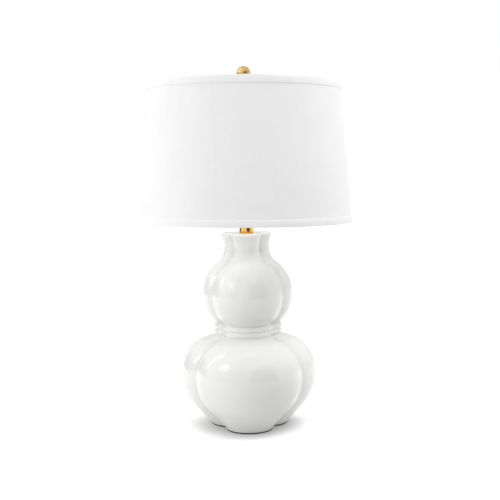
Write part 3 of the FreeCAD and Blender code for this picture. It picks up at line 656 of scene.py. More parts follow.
def make_weave() -> bpy.types.NodeTree:
    """A plain weave of upright and level threads, with thick and thin places along them, and a mask for
    painted shade in the gaps between threads.
    """
    tree, given, end = new_group(
        "weave",
        [("Around", "Float", 0.0), ("Up", "Float", 0.0), ("Thread", "Float", 0.0005),
         ("Slub", "Float", 0.3)],
        [("Height", "Float"), ("Streaks", "Float"), ("Gaps", "Float")])
    waves = []
    for place in (given["Around"], given["Up"]):
        phase = tree.times(tree.sum_of("DIVIDE", place, given["Thread"]), math.pi)
        waves.append(tree.sum_of("SINE", phase))
    over = tree.times(waves[0], waves[1])
    pick = tree.mapped(over, -0.25, 0.25)
    rounds = [tree.sum_of("ABSOLUTE", wave) for wave in waves]
    upright = tree.times(rounds[0], pick)
    level = tree.times(rounds[1], tree.less(1.0, pick))
    height = tree.plus(upright, level)
    slubs = []
    for wide, long, part in ((1100.0, 9.0, 0.45), (260.0, 5.0, 0.3), (12.0, 900.0, 0.25)):
        stretched = tree.vector(tree.times(given["Around"], wide), tree.times(given["Up"], long))
        slub = tree.mapped(tree.noise(stretched, 1.0, 3.0, 0.6), 0.25, 0.75)
        slubs.append(tree.times(slub, part))
    streaks = tree.plus(slubs[0], tree.plus(slubs[1], slubs[2]))
    lifted = tree.plus(height, tree.times(streaks, given["Slub"]))
    tree.fill(end, Height=lifted, Streaks=streaks, Gaps=tree.mapped(height, 0.0, 0.5, 1.0, 0.0))
    return tree.tree


def make_turning_marks() -> bpy.types.NodeTree:
    """Fine lines round a piece, as turning or brushing leaves them."""
    tree, given, end = new_group(
        "turning_marks",
        [("Around", "Float", 0.0), ("Up", "Float", 0.0), ("Fineness", "Float", 4000.0)],
        [("Mask", "Float"), ("Height", "Float")])
    fine = tree.vector(tree.times(given["Around"], 60.0), tree.times(given["Up"], given["Fineness"]))
    coarse = tree.vector(tree.times(given["Around"], 25.0),
                         tree.times(given["Up"], tree.times(given["Fineness"], 0.22)))
    lines = tree.noise(fine, 1.0, 2.0, 0.6)
    bands = tree.noise(coarse, 1.0, 2.0, 0.5)
    both = tree.plus(tree.times(lines, 0.65), tree.times(bands, 0.35))
    tree.fill(end, Mask=tree.mapped(both, 0.3, 0.7), Height=both)
    return tree.tree


def make_worn_edges() -> bpy.types.NodeTree:
    """A mask over edges that stand out, broken up by noise."""
    tree, given, end = new_group(
        "worn_edges",
        [("Position", "Vector", None), ("Amount", "Float", 0.5), ("Scale", "Float", 400.0)],
        [("Mask", "Float"), ("Hollows", "Float")])
    geometry = tree.add("ShaderNodeNewGeometry")
    edge = tree.mapped(geometry.outputs["Pointiness"], 0.515, 0.60)
    broken = tree.mapped(tree.noise(given["Position"], given["Scale"], 3.0, 0.6), 0.35, 0.6)
    worn = tree.times(tree.times(edge, broken), given["Amount"])
    tree.fill(end, Mask=worn, Hollows=tree.mapped(geometry.outputs["Pointiness"], 0.49, 0.40))
    return tree.tree


def make_dust() -> bpy.types.NodeTree:
    """A thin veil of dust on what faces up."""
    tree, given, end = new_group(
        "dust",
        [("Position", "Vector", None), ("Amount", "Float", 0.2)],
        [("Mask", "Float")])
    geometry = tree.add("ShaderNodeNewGeometry")
    split = tree.add("ShaderNodeSeparateXYZ")
    tree.feed(split.inputs[0], geometry.outputs["Normal"])
    facing = tree.mapped(split.outputs[2], 0.35, 1.0)
    cloud = tree.mapped(tree.noise(given["Position"], 90.0, 5.0, 0.65), 0.3, 0.75)
    veil = tree.times(tree.times(facing, cloud), given["Amount"])
    tree.fill(end, Mask=veil)
    return tree.tree


EFFECT_MAKERS: dict[Effect, Callable[[], bpy.types.NodeTree]] = {
    Effect.ROUND_THE_AXIS: make_round_the_axis,
    Effect.UNEVEN_COLOUR: make_uneven_colour,
    Effect.WEAVE: make_weave,
    Effect.TURNING_MARKS: make_turning_marks,
    Effect.WORN_EDGES: make_worn_edges,
    Effect.DUST: make_dust,
}


# ---- Finishes ----
@dataclass(frozen=True)
class Finish:
    """What all finishes share: a name, the record's slot, and a material made once."""

    name: str
    slot: str
    colour: Colour
    rough: float

    def start(self) -> tuple[Tree, bpy.types.Material, bpy.types.Node, bpy.types.NodeSocket]:
        """A new material with its surface shader.

        Returns:
            The tree, the material, the shader node and the position on the piece.
        """
        tree, material = Tree.of_material(self.name + "_finish")
        material.diffuse_color = (*self.colour, 1.0)
        shader = tree.add("ShaderNodeBsdfPrincipled")
        output = tree.add("ShaderNodeOutputMaterial")
        tree.fill(output, Surface=shader.outputs[0])
        place = tree.add("ShaderNodeTexCoord").outputs["Object"]
        tree.fill(shader, Base_Color=self.colour, Roughness=self.rough)
        return tree, material, shader, place

    def drift(self, tree: Tree, place: bpy.types.NodeSocket, share: float, scale: float,
              amount: float) -> dict[str, bpy.types.NodeSocket]:
        """The finish's colour, drifting towards a share of itself."""
        other = tuple(level * share for level in self.colour)
        return tree.use(Effect.UNEVEN_COLOUR, Position=place, Base=self.colour, Other=other,
                        Scale=scale, Amount=amount)

    @cache
    def material(self) -> bpy.types.Material:
        """The finish's material, built the first time that it is asked for."""
        return self.build()

    def build(self) -> bpy.types.Material:
        """Build the material."""
        raise NotImplementedError

    def dress(self, piece: Piece) -> Piece:
        """Put the finish on a piece or on a CAD node."""
        piece.data.materials.clear()
        piece.data.materials.append(self.material())
        return piece


def bumped(tree: Tree, shader: bpy.types.Node, height: Value, distance: float) -> None:
    """Feed a height to the shader's normal.

    Args:
        tree: The material's tree.
        shader: The surface shader.
        height: The height, in shares of the distance.
        distance: The distance in metres.
    """
    bump = tree.add("ShaderNodeBump")
    tree.fill(bump, Strength=1.0, Distance=distance, Height=height)
    tree.fill(shader, Normal=bump.outputs[0])


@dataclass(frozen=True)
class Glaze(Finish):
    """White gloss glaze over stoneware: pooled in the hollows, with painted shade darkening the grooves
    and the bands beside the beads, thin over the edges.
    """

    # Colour of pooled glaze, darker than the glaze: painted shade in the grooves and beside the beads.
    pooled_and_shaded: Colour = (0.66, 0.68, 0.64)
    thin: Colour = (0.86, 0.82, 0.75)

    def build(self) -> bpy.types.Material:
        """Build the glaze."""
        tree, material, shader, place = self.start()
        drift = self.drift(tree, place, 0.965, 9.0, 0.8)
        # Pooled glaze and painted shade: the colour darkens towards the pooled colour in the grooves and
        # beside the beads.
        pool = tree.add("ShaderNodeAttribute", attribute_name="pool").outputs["Fac"]
        colour = tree.mixed(tree.times(pool, 0.45), drift["Colour"], self.pooled_and_shaded)
        edges = tree.use(Effect.WORN_EDGES, Position=place, Amount=0.5, Scale=120.0)
        colour = tree.mixed(edges["Mask"], colour, self.thin)
        specks = tree.mapped(tree.noise(place, 700.0, 1.0), 0.80, 0.86)
        speckled = tree.mixed(tree.times(specks, 0.25), colour, (0.45, 0.40, 0.32))
        dust = tree.use(Effect.DUST, Position=place, Amount=0.02)
        tree.fill(shader, Base_Color=speckled, Roughness=tree.plus(dust["Mask"], self.rough), IOR=1.52)
        peel = tree.noise(place, 260.0, 2.0, 0.5)
        swell = tree.noise(place, 28.0, 2.0, 0.5)
        height = tree.plus(tree.times(peel, 0.05), swell)
        bumped(tree, shader, height, 0.00010)
        return material


@dataclass(frozen=True)
class Linen(Finish):
    """Plain woven cloth on a round shade."""

    radius: float = 0.202
    thread: float = 0.00062
    sheen: float = 0.25
    streak: float = 0.05

    def build(self) -> bpy.types.Material:
        """Build the cloth."""
        tree, material, shader, place = self.start()
        turn = tree.use(Effect.ROUND_THE_AXIS, Position=place, Radius=self.radius)
        weave = tree.use(Effect.WEAVE, **turn, Thread=self.thread, Slub=0.5)
        drift = self.drift(tree, place, 0.975, 14.0, 0.7)
        dark = tuple(c * (1.0 - self.streak * 2.0) for c in self.colour)
        streaked = tree.mixed(tree.times(weave["Streaks"], 0.5), drift["Colour"], dark)
        # Painted shade in the gaps between the threads.
        gap_shaded = tree.mixed(tree.times(weave["Gaps"], 0.35), streaked,
                          tuple(c * 0.82 for c in self.colour))
        rough = tree.mapped(weave["Streaks"], 0.0, 1.0, self.rough - 0.08, self.rough)
        tree.fill(shader, Base_Color=gap_shaded, Roughness=rough, Sheen_Weight=self.sheen, Sheen_Roughness=0.5,
                  Specular_IOR_Level=0.25)
        bumped(tree, shader, weave["Height"], 0.00012)
        return material


@dataclass(frozen=True)
class Sheeting(Finish):
    """Smooth white plastic film with a faint pressed grain."""

    radius: float = 0.2

    def build(self) -> bpy.types.Material:
        """Build the film."""
        tree, material, shader, place = self.start()
        drift = self.drift(tree, place, 0.96, 6.0, 0.6)
        turn = tree.use(Effect.ROUND_THE_AXIS, Position=place, Radius=self.radius)
        marks = tree.use(Effect.TURNING_MARKS, Around=turn["Up"], Up=turn["Around"], Fineness=500.0)
        rough = tree.mapped(marks["Mask"], 0.0, 1.0, self.rough - 0.05, self.rough + 0.1)
        tree.fill(shader, Base_Color=drift["Colour"], Roughness=rough)
        grain = tree.noise(place, 1800.0, 2.0)
        bumped(tree, shader, tree.plus(grain, marks["Height"]), 0.00003)
        return material


@dataclass(frozen=True)
class Metal(Finish):
    """Metal with fine marks round the piece, a drifting tone and worn edges."""

    worn: Colour = (1.0, 0.9, 0.7)
    aged: Colour = (0.5, 0.35, 0.15)
    fineness: float = 5000.0
    mark_depth: float = 0.000012
    radius: float = 0.014
    wear: float = 0.4
    tarnish: float = 0.25
    grey_dust: float = 0.08
    mottle: float = 0.0

    def build(self) -> bpy.types.Material:
        """Build the metal."""
        tree, material, shader, place = self.start()
        turn = tree.use(Effect.ROUND_THE_AXIS, Position=place, Radius=self.radius)
        marks = tree.use(Effect.TURNING_MARKS, **turn, Fineness=self.fineness)
        drift = tree.use(Effect.UNEVEN_COLOUR, Position=place, Base=self.colour, Other=self.aged,
                         Scale=130.0, Amount=self.tarnish)
        edges = tree.use(Effect.WORN_EDGES, Position=place, Amount=self.wear, Scale=900.0)
        aged = tree.mixed(tree.times(edges["Hollows"], 0.5), drift["Colour"], self.aged)
        colour = tree.mixed(edges["Mask"], aged, self.worn)
        dust = tree.use(Effect.DUST, Position=place, Amount=self.grey_dust)
        dusty = tree.mixed(dust["Mask"], colour, (0.62, 0.60, 0.57))
        rough = tree.mapped(marks["Mask"], 0.0, 1.0, self.rough * 0.75, self.rough * 1.25)
        blotch = tree.times(drift["Mask"], self.rough * 0.35)
        spread = tree.plus(tree.plus(rough, blotch), dust["Mask"])
        tree.fill(shader, Base_Color=dusty, Roughness=spread, Metallic=1.0)
        height = marks["Height"]
        if self.mottle:
            dents = tree.noise(place, 420.0, 2.0, 0.5)
            height = tree.plus(height, tree.times(dents, self.mottle))
        bumped(tree, shader, height, self.mark_depth)
        return material


@dataclass(frozen=True)
class Moulded(Finish):
    """Moulded plastic with a fine pebbled skin and rubbed edges."""

    rubbed: Colour = (0.2, 0.2, 0.2)
    grain_scale: float = 2200.0
    grain_depth: float = 0.00004
    coat: float = 0.0

    def build(self) -> bpy.types.Material:
        """Build the plastic."""
        tree, material, shader, place = self.start()
        edges = tree.use(Effect.WORN_EDGES, Position=place, Amount=0.35, Scale=700.0)
        drift = self.drift(tree, place, 0.8, 80.0, 0.6)
        dust = tree.use(Effect.DUST, Position=place, Amount=0.12)
        rubbed = tree.mixed(edges["Mask"], drift["Colour"], self.rubbed)
        dusty = tree.mixed(dust["Mask"], rubbed, (0.5, 0.49, 0.47))
        rough = tree.mapped(drift["Mask"], 0.0, 1.0, self.rough - 0.06, self.rough + 0.06)
        tree.fill(shader, Base_Color=dusty, Roughness=rough, Coat_Weight=self.coat, Coat_Roughness=0.1)
        bumped(tree, shader, tree.noise(place, self.grain_scale, 2.0), self.grain_depth)
        return material


@dataclass(frozen=True)
class Fibre(Finish):
    """Pressed fibres: felt or card."""

    fuzz: float = 0.0005
    fibre_scale: float = 1400.0
    sheen: float = 0.3

    def build(self) -> bpy.types.Material:
        """Build the fibres."""
        tree, material, shader, place = self.start()
        other = tuple(min(1.0, level * 1.6 + 0.01) for level in self.colour)
        drift = tree.use(Effect.UNEVEN_COLOUR, Position=place, Base=self.colour, Other=other,
                         Scale=260.0, Amount=0.8)
        long_way = tree.add("ShaderNodeVectorMath", operation="MULTIPLY")
        tree.feed(long_way.inputs[0], place)
        long_way.inputs[1].default_value = (1.0, 0.25, 1.0)
        strands = tree.noise(long_way.outputs[0], self.fibre_scale, 4.0, 0.7)
        cross = tree.noise(place, self.fibre_scale * 0.4, 3.0, 0.6)
        bumped(tree, shader, tree.plus(strands, cross), self.fuzz)
        tree.fill(shader, Base_Color=drift["Colour"], Sheen_Weight=self.sheen, Specular_IOR_Level=0.15)
        return material


@dataclass(frozen=True)
class Glass(Finish):
    """Glass, clear or with a white coat inside."""

    clear: float = 0.3
    coat: float = 1.0

    def build(self) -> bpy.types.Material:
        """Build the glass."""
        tree, material, shader, place = self.start()
        drift = self.drift(tree, place, 0.95, 30.0, 0.6)
        dust = tree.use(Effect.DUST, Position=place, Amount=0.15)
        tree.fill(shader, Base_Color=drift["Colour"], Roughness=tree.plus(dust["Mask"], self.rough),
                  Transmission_Weight=self.clear, Coat_Weight=self.coat, Coat_Roughness=0.04)
        bumped(tree, shader, tree.noise(place, 90.0, 2.0), 0.0001)
        return material


GLAZE = Glaze("white_gloss_glaze", "glaze", (0.80, 0.80, 0.785), 0.03)
LINEN = Linen("white_linen", "linen", (0.91, 0.91, 0.908), 0.92)
TAPE = Linen("white_trim_tape", "trim_tape", (0.92, 0.92, 0.917), 0.9, thread=0.00045, streak=0.02)
STYRENE = Sheeting("white_styrene", "styrene", (0.86, 0.855, 0.84), 0.42)
SATIN_BRASS = Metal("satin_brass", "satin_brass", (0.86, 0.49, 0.12), 0.11, worn=(0.96, 0.66, 0.26),
                    aged=(0.62, 0.30, 0.05), wear=0.1, grey_dust=0.01)
BALL_BRASS = Metal("satin_brass_ball", "satin_brass", (0.82, 0.54, 0.20), 0.25, worn=(0.98, 0.80, 0.45),
                   aged=(0.50, 0.27, 0.08), wear=0.2, mottle=4.0, mark_depth=0.00004, tarnish=0.5,
                   grey_dust=0.02)
WIRE_BRASS = Metal("brass_plated_wire", "wire_brass", (0.80, 0.58, 0.25), 0.24, worn=(0.95, 0.82, 0.52),
                   aged=(0.48, 0.30, 0.10), fineness=2500.0, radius=0.02)
SOCKET_BRASS = Metal("pressed_brass", "socket_brass", (0.78, 0.55, 0.22), 0.27, worn=(0.95, 0.80, 0.50),
                     aged=(0.45, 0.28, 0.10), fineness=3500.0, radius=0.017)
STEEL = Metal("plated_steel", "plated_steel", (0.62, 0.61, 0.58), 0.33, worn=(0.85, 0.85, 0.84),
              aged=(0.35, 0.33, 0.30), fineness=1800.0)
SOLDER = Metal("solder", "solder", (0.60, 0.60, 0.61), 0.36, worn=(0.8, 0.8, 0.8), aged=(0.3, 0.3, 0.3),
               mottle=6.0, mark_depth=0.00005)
ALUMINIUM = Metal("bulb_cap_aluminium", "cap_aluminium", (0.78, 0.78, 0.79), 0.28,
                  worn=(0.92, 0.92, 0.92), aged=(0.45, 0.45, 0.46), fineness=2500.0)
ENAMEL = Moulded("white_wire_enamel", "white_wire", (0.82, 0.82, 0.80), 0.35, rubbed=(0.60, 0.60, 0.58),
                 grain_scale=900.0, grain_depth=0.00006, coat=0.4)
FELT = Fibre("black_felt", "felt", (0.012, 0.013, 0.015), 0.95)
CARD = Fibre("liner_card", "liner_card", (0.10, 0.075, 0.055), 0.85, fuzz=0.0001, sheen=0.05)
PHENOLIC = Moulded("black_phenolic", "phenolic", (0.014, 0.013, 0.012), 0.32, rubbed=(0.09, 0.08, 0.07),
                   coat=0.3)
BUSHING_PLASTIC = Moulded("bushing_plastic", "bushing_plastic", (0.72, 0.71, 0.68), 0.38,
                          rubbed=(0.85, 0.84, 0.80))
FROSTED = Glass("frosted_glass", "frosted_glass", (0.88, 0.88, 0.86), 0.32, clear=0.25)
STEM_GLASS = Glass("stem_glass", "stem_glass", (0.93, 0.95, 0.94), 0.05, clear=0.9)
BLACK_GLASS = Glass("black_glass", "black_glass", (0.01, 0.01, 0.012), 0.12, clear=0.0)


def fit(piece: Piece, finish: Finish, body: str, *nodes: str) -> Piece:
    """Dress a new piece, let it stand for its CAD nodes and ride on its body.

    Args:
        piece: The new piece.
        finish: Its finish.
        body: The body that it rides on.
        nodes: The CAD nodes that it stands for.

    Returns:
        The piece.
    """
    finish.dress(piece)
    if nodes:
        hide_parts(*nodes)
    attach(piece, body)
    return piece


def keep(node: str, finish: Finish) -> Piece:
    """Dress a CAD node whose own shape stays."""
    return finish.dress(frame["nodes"][node])


# ---- Ceramic body ----
Row = tuple[float, float, float]


@dataclass(frozen=True)
class Levels:
    """Heights of the body's stations, from the foot up."""

    foot: float
    flank: float
    belly: float
    collar: float
    waist: float
    start: float
    bulge: float
    neck_start: float
    neck: float
    lip: float
    lip_top: float
    top: float


@dataclass
class GourdBody:
    """The glazed body: two gourds in three lobes, one above the other, hollow inside.

    Radii are of one lobe, an offset is how far a lobe's axis stands from the middle, a rise is from
    the level before it, and a bulge is how far an arc stands off its chord.
    """

    lower_offset: float = 36.0 * MM
    foot_radius: float = 47.5 * MM
    foot_round: float = 3.0 * MM
    flank_radius: float = 83.0 * MM
    flank_rise: float = 41.0 * MM
    flank_bulge: float = 6.0 * MM
    belly_radius: float = 106.6 * MM
    belly_rise: float = 64.0 * MM
    shoulder_bulge: float = 14.8 * MM
    collar_radius: float = 53.5 * MM
    collar_rise: float = 71.0 * MM
    waist_radius: float = 45.0 * MM
    waist_rise: float = 18.0 * MM
    bead_proud: float = 3.1 * MM
    bead_radius: float = 7.5 * MM
    bead_spacing: float = 11.0 * MM
    upper_offset: float = 24.0 * MM
    upper_start_rise: float = 12.0 * MM
    upper_flank_bulge: float = 6.5 * MM
    bulge_radius: float = 70.5 * MM
    bulge_rise: float = 56.7 * MM
    upper_shoulder_bulge: float = 8.6 * MM
    neck_start_radius: float = 38.0 * MM
    neck_start_rise: float = 64.7 * MM
    neck_hollow_curve: float = 4.1 * MM
    neck_radius: float = 24.4 * MM
    neck_rise: float = 30.6 * MM
    lip_flare_curve: float = 1.0 * MM
    lip_radius: float = 29.3 * MM
    lip_rise: float = 22.9 * MM
    lip_round: float = 5.4 * MM
    lip_edge_rise: float = 5.8 * MM
    lip_bulge: float = 1.7 * MM
    crown_radius: float = 15.6 * MM
    pipe_hole: float = 5.5 * MM
    wall: float = 6.5 * MM
    belly_half: float = 16.0 * MM
    bulge_below: float = 12.0 * MM
    bulge_above: float = 20.0 * MM
    roof: float = 8.0 * MM
    neck_bore: float = 12.0 * MM
    recess_radius: float = 33.0 * MM
    recess_depth: float = 14.0 * MM
    foot_opening: float = 26.0 * MM
    foot_floor: float = 4.5 * MM
    groove_round: float = 3.6 * MM
    waist_groove_round: float = 10.0 * MM
    waist_reach: float = 15.0 * MM
    columns: int = 288
    gather: float = 0.62
    sway: float = 0.30 * MM
    sway_fade: float = 20.0 * MM
    # Width of each band of pooled glaze and painted shade beside the beads.
    pool_and_shade_width: float = 1.6 * MM
    inlet_hole: float = 4.4 * MM
    inlet_seat: float = 4.0 * MM
    inlet_clear: float = 0.15 * MM

    def levels(self) -> Levels:
        """The stations' heights, each a rise above the one before."""
        foot, top = span("gourd_body")
        rises = (self.flank_rise, self.belly_rise, self.collar_rise, self.waist_rise,
                 self.upper_start_rise, self.bulge_rise, self.neck_start_rise, self.neck_rise,
                 self.lip_rise, self.lip_edge_rise)
        return Levels(*accumulate(rises, initial=foot), top)

    def lower_side(self, level: Levels) -> list[Row]:
        """The outside from the foot up to the collar under the waist."""
        edge = self.foot_round
        corners = [
            (self.foot_radius - edge, level.foot),
            Bend(self.foot_radius, level.foot + edge, edge * QUARTER_BULGE),
            (self.flank_radius, level.flank),
            Bend(self.belly_radius, level.belly, self.flank_bulge),
            Bend(self.collar_radius, level.collar, self.shoulder_bulge),
        ]
        return [(radius, up, self.lower_offset) for radius, up in traced(corners, 2.2 * MM)]

    def shoulder(self, level: Levels) -> list[Row]:
        """The step in from the collar to the waist."""
        first = level.waist - self.upper_start_rise
        inward = self.upper_offset - self.lower_offset
        rows = []
        for i in range(1, 5):
            share = i / 5.0
            rows.append((self.collar_radius + (self.waist_radius - self.collar_radius) * share,
                         level.collar + (first - level.collar) * share,
                         self.lower_offset + inward * smooth(share)))
        return rows + [(self.waist_radius, first, self.upper_offset)]

    def waist(self, middle: float) -> list[Row]:
        """The narrow band with its two beads."""
        rows = []
        path = self.waist_radius + self.bead_proud - self.bead_radius
        half = self.upper_start_rise
        count = 60
        for i in range(1, count):
            up = middle - half + 2.0 * half * i / count
            radius = self.waist_radius
            for side in (-0.5, 0.5):
                rise = up - middle - self.bead_spacing * side
                if abs(rise) < self.bead_radius:
                    radius = max(radius, path + math.sqrt(self.bead_radius ** 2 - rise * rise))
            rows.append((radius, up, self.upper_offset))
        return rows

    def upper_side(self, level: Levels) -> list[Row]:
        """The upper gourd, its neck and its lip."""
        corners = [
            (self.waist_radius, level.start),
            Bend(self.bulge_radius, level.bulge, self.upper_flank_bulge),
            Bend(self.neck_start_radius, level.neck_start, self.upper_shoulder_bulge),
            Bend(self.neck_radius, level.neck, -self.neck_hollow_curve),
            Bend(self.lip_radius, level.lip, -self.lip_flare_curve),
        ]
        rows = [(radius, up, self.upper_offset) for radius, up in traced(corners, 1.9 * MM)]
        lip = [(self.lip_radius, level.lip),
               Bend(self.lip_radius - self.lip_round, level.lip_top, self.lip_bulge)]
        rows += [(radius, up, self.upper_offset) for radius, up in traced(lip, 0.6 * MM)[1:]]
        return rows

    def crown(self, level: Levels) -> list[Row]:
        """The closed top inside the lip, rising to the brass neck."""
        rows = []
        edge = self.lip_radius - self.lip_round
        count = 12
        rise = level.top - level.lip_top
        for i in range(1, count + 1):
            share = i / count
            radius = edge + (self.crown_radius - edge) * share
            rows.append((radius, level.lip_top + rise * smooth(share),
                         self.upper_offset * (1.0 - share)))
        return rows

    def inside(self, level: Levels) -> list[Row]:
        """From the pipe hole down the hollow and out through the foot."""
        roof = level.lip_top - self.roof
        recess = level.foot + self.recess_depth
        floor = recess + self.foot_floor
        thin = self.wall
        lower, upper = self.lower_offset, self.upper_offset
        return [
            (self.pipe_hole, level.top, 0.0),
            (self.pipe_hole, roof, 0.0),
            (self.neck_bore, roof, 0.0),
            (self.neck_bore, level.neck_start, 0.0),
            (self.neck_start_radius - thin, level.neck_start - thin, upper),
            (self.bulge_radius - thin, level.bulge + self.bulge_above, upper),
            (self.bulge_radius - thin, level.bulge - self.bulge_below, upper),
            (self.waist_radius - thin, level.start, upper),
            (self.waist_radius - thin, level.start - self.waist_rise, upper),
            (self.collar_radius - thin, level.start - self.waist_rise - thin * 2.0, lower),
            (self.belly_radius - thin, level.belly + self.belly_half, lower),
            (self.belly_radius - thin, level.belly - self.belly_half, lower),
            (self.flank_radius - thin, level.flank, lower),
            (self.foot_radius, floor, lower),
            (self.foot_opening, floor, 0.0),
            (self.foot_opening, recess, 0.0),
            (self.recess_radius, recess, 0.0),
            (self.recess_radius, level.foot, 0.0),
        ]

    def lobe_angles(self) -> np.ndarray:
        """Angles round the body, closer together at the grooves between the lobes."""
        count = self.columns // 3
        angles = []
        for lobe in range(3):
            for i in range(count):
                way = 2.0 * i / count - 1.0
                bent_way = way + self.gather / math.pi * math.sin(math.pi * way)
                angles.append(FRONT + math.tau / 3.0 * lobe + math.pi / 3.0 * bent_way)
        return np.array(angles)

    def reach(self, radius: float, offset: float, angles: np.ndarray,
              width: float) -> tuple[np.ndarray, np.ndarray]:
        """How far the body reaches in each direction, with soft grooves.

        Args:
            radius: The radius of one lobe.
            offset: How far the lobes' axes are from the middle.
            angles: The directions.
            width: How wide the glaze rounds the bottom of a groove.

        Returns:
            The distances, and how close each one is to the bottom of a groove, from 0 to 1.
        """
        if offset <= 0.0:
            return np.full(len(angles), radius), np.zeros(len(angles))
        lobes = []
        for lobe in range(3):
            turn = angles - FRONT - math.tau / 3.0 * lobe
            beside = offset * np.sin(turn)
            lobes.append(offset * np.cos(turn) + np.sqrt(np.maximum(radius ** 2 - beside ** 2, 0.0)))
        ordered = np.sort(np.array(lobes), axis=0)
        most, next_most = ordered[2], ordered[1]
        near = np.clip(1.0 - (most - next_most) / width, 0.0, 1.0)
        # How near each point is to a groove, which sets the pooled glaze and painted shade there.
        pool = np.clip(1.0 - (most - next_most) / (width * 3.0), 0.0, 1.0)
        return most + near ** 2 * width / 4.0, pool

    def smoothed(self, rows: list[Row], passes: int) -> list[Row]:
        """Rows with kinks between arcs evened out, ends kept."""
        work = np.array(rows)
        for _ in range(passes):
            middle = (work[:-2] + work[2:]) / 2.0
            work[1:-1] = work[1:-1] * 0.5 + middle * 0.5
        return [tuple(row) for row in work]

    def pool_and_shade_levels(self, middle: float) -> tuple[float, ...]:
        """The levels above, between and below the beads, where glaze pools and painted shade darkens it.
        """
        edge = self.bead_spacing / 2.0 + self.bead_radius * 0.9
        return (middle - edge, middle, middle + edge)

    def wrapped(self, rows: list[Row], outside: int, level: Levels) -> tuple[np.ndarray, np.ndarray]:
        """The body's points.

        Args:
            rows: The radius, height and offset of each row of points.
            outside: How many of the rows lie outside, where the body sways and glaze pools with painted
                shade.
            level: The stations' heights.

        Returns:
            The points by row and direction, and how deep the pooled glaze and its painted shade lie at
            each, from 0 to 1.
        """
        angles = self.lobe_angles()
        grid = np.zeros((len(rows), len(angles), 3))
        pools_and_shade = np.zeros((len(rows), len(angles)))
        for index, (radius, up, offset) in enumerate(rows):
            beside = max(0.0, 1.0 - ((up - level.waist) / self.waist_reach) ** 2)
            width = self.groove_round + (self.waist_groove_round - self.groove_round) * beside
            distance, pool = self.reach(radius, offset, angles, width)
            if index < outside:
                drift = np.array([noise.noise(Vector((math.cos(a) * 1.7, math.sin(a) * 1.7, up * 14.0)))
                                  for a in angles])
                fade = ramp(up - level.foot, self.sway_fade) * ramp(level.lip_top - up, self.sway_fade)
                distance = distance + drift * self.sway * fade
                # Pooled glaze and painted shade: in the grooves and in bands above, between and below
                # the beads.
                in_hollow = max(math.exp(-((up - hollow) / self.pool_and_shade_width) ** 2)
                                for hollow in self.pool_and_shade_levels(level.waist))
                pools_and_shade[index] = np.maximum(pool ** 1.5, in_hollow)
            grid[index, :, 0] = distance * np.cos(angles)
            grid[index, :, 1] = distance * np.sin(angles)
            grid[index, :, 2] = up
        return grid, pools_and_shade

    def build(self) -> Piece:
        """Build the body, with the hole for the cord bushing cut at the back of the foot."""
        level = self.levels()
        lower = self.smoothed(self.lower_side(level), 2)
        waist = self.smoothed(self.shoulder(level) + self.waist(level.waist), 11)
        upper = self.smoothed(self.upper_side(level), 3)
        outer = self.smoothed(lower + waist + upper, 1)
        rows = outer + self.crown(level) + self.inside(level)
        grid, pools_and_shade = self.wrapped(rows, len(outer), level)
        body = skinned("gourd_body_glazed", grid, join_rows=True, crease=60.0)
        self.cut_inlet(body)
        self.mark_pools_and_shade(body, grid[:len(outer)], pools_and_shade[:len(outer)])
        return body

    def cut_inlet(self, body: Piece) -> None:
        """Cut the hole and the seat of the cord bushing."""
        low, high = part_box("cord_bushing")
        flange = (high.x - low.x) / 2.0 + self.inlet_clear
        seat = high.y - self.inlet_seat
        hole = self.inlet_hole + self.inlet_clear
        outline = [(0.0, low.y - 8.0 * MM), (hole, low.y - 8.0 * MM), (hole, seat), (flange, seat),
                   (flange, high.y + 14.0 * MM), (0.0, high.y + 14.0 * MM)]
        cutter = moved(turned("inlet_cutter", outline, 48), at(z=(low.z + high.z) / 2.0) @ TO_BACK)
        step = body.modifiers.new("inlet", "BOOLEAN")
        step.operation = "DIFFERENCE"
        step.object = cutter
        step.solver = "EXACT"
        bpy.context.view_layer.update()
        cut = bpy.data.meshes.new_from_object(body.evaluated_get(bpy.context.evaluated_depsgraph_get()))
        body.modifiers.clear()
        body.data = cut
        bpy.data.objects.remove(cutter)
        body.data.polygons.foreach_set("use_smooth", [True] * len(body.data.polygons))
        body.data.set_sharp_from_angle(angle=math.radians(45.0))

    def mark_pools_and_shade(self, body: Piece, grid: np.ndarray, pools_and_shade: np.ndarray) -> None:
        """Store how deep the pooled glaze and its painted shade lie at each point, looked up from the
        nearest point as built.
        """
        points = grid.reshape(-1, 3)
        values = pools_and_shade.reshape(-1)
        tree = KDTree(len(points))
        for index, point in enumerate(points):
            tree.insert(point, index)
        tree.balance()
        attribute = body.data.attributes.new("pool", "FLOAT", "POINT")
        found = []
        for vertex in body.data.vertices:
            _, index, away = tree.find(vertex.co)
            found.append(values[index] if away < 1.5 * MM else 0.0)
        attribute.data.foreach_set("value", found)


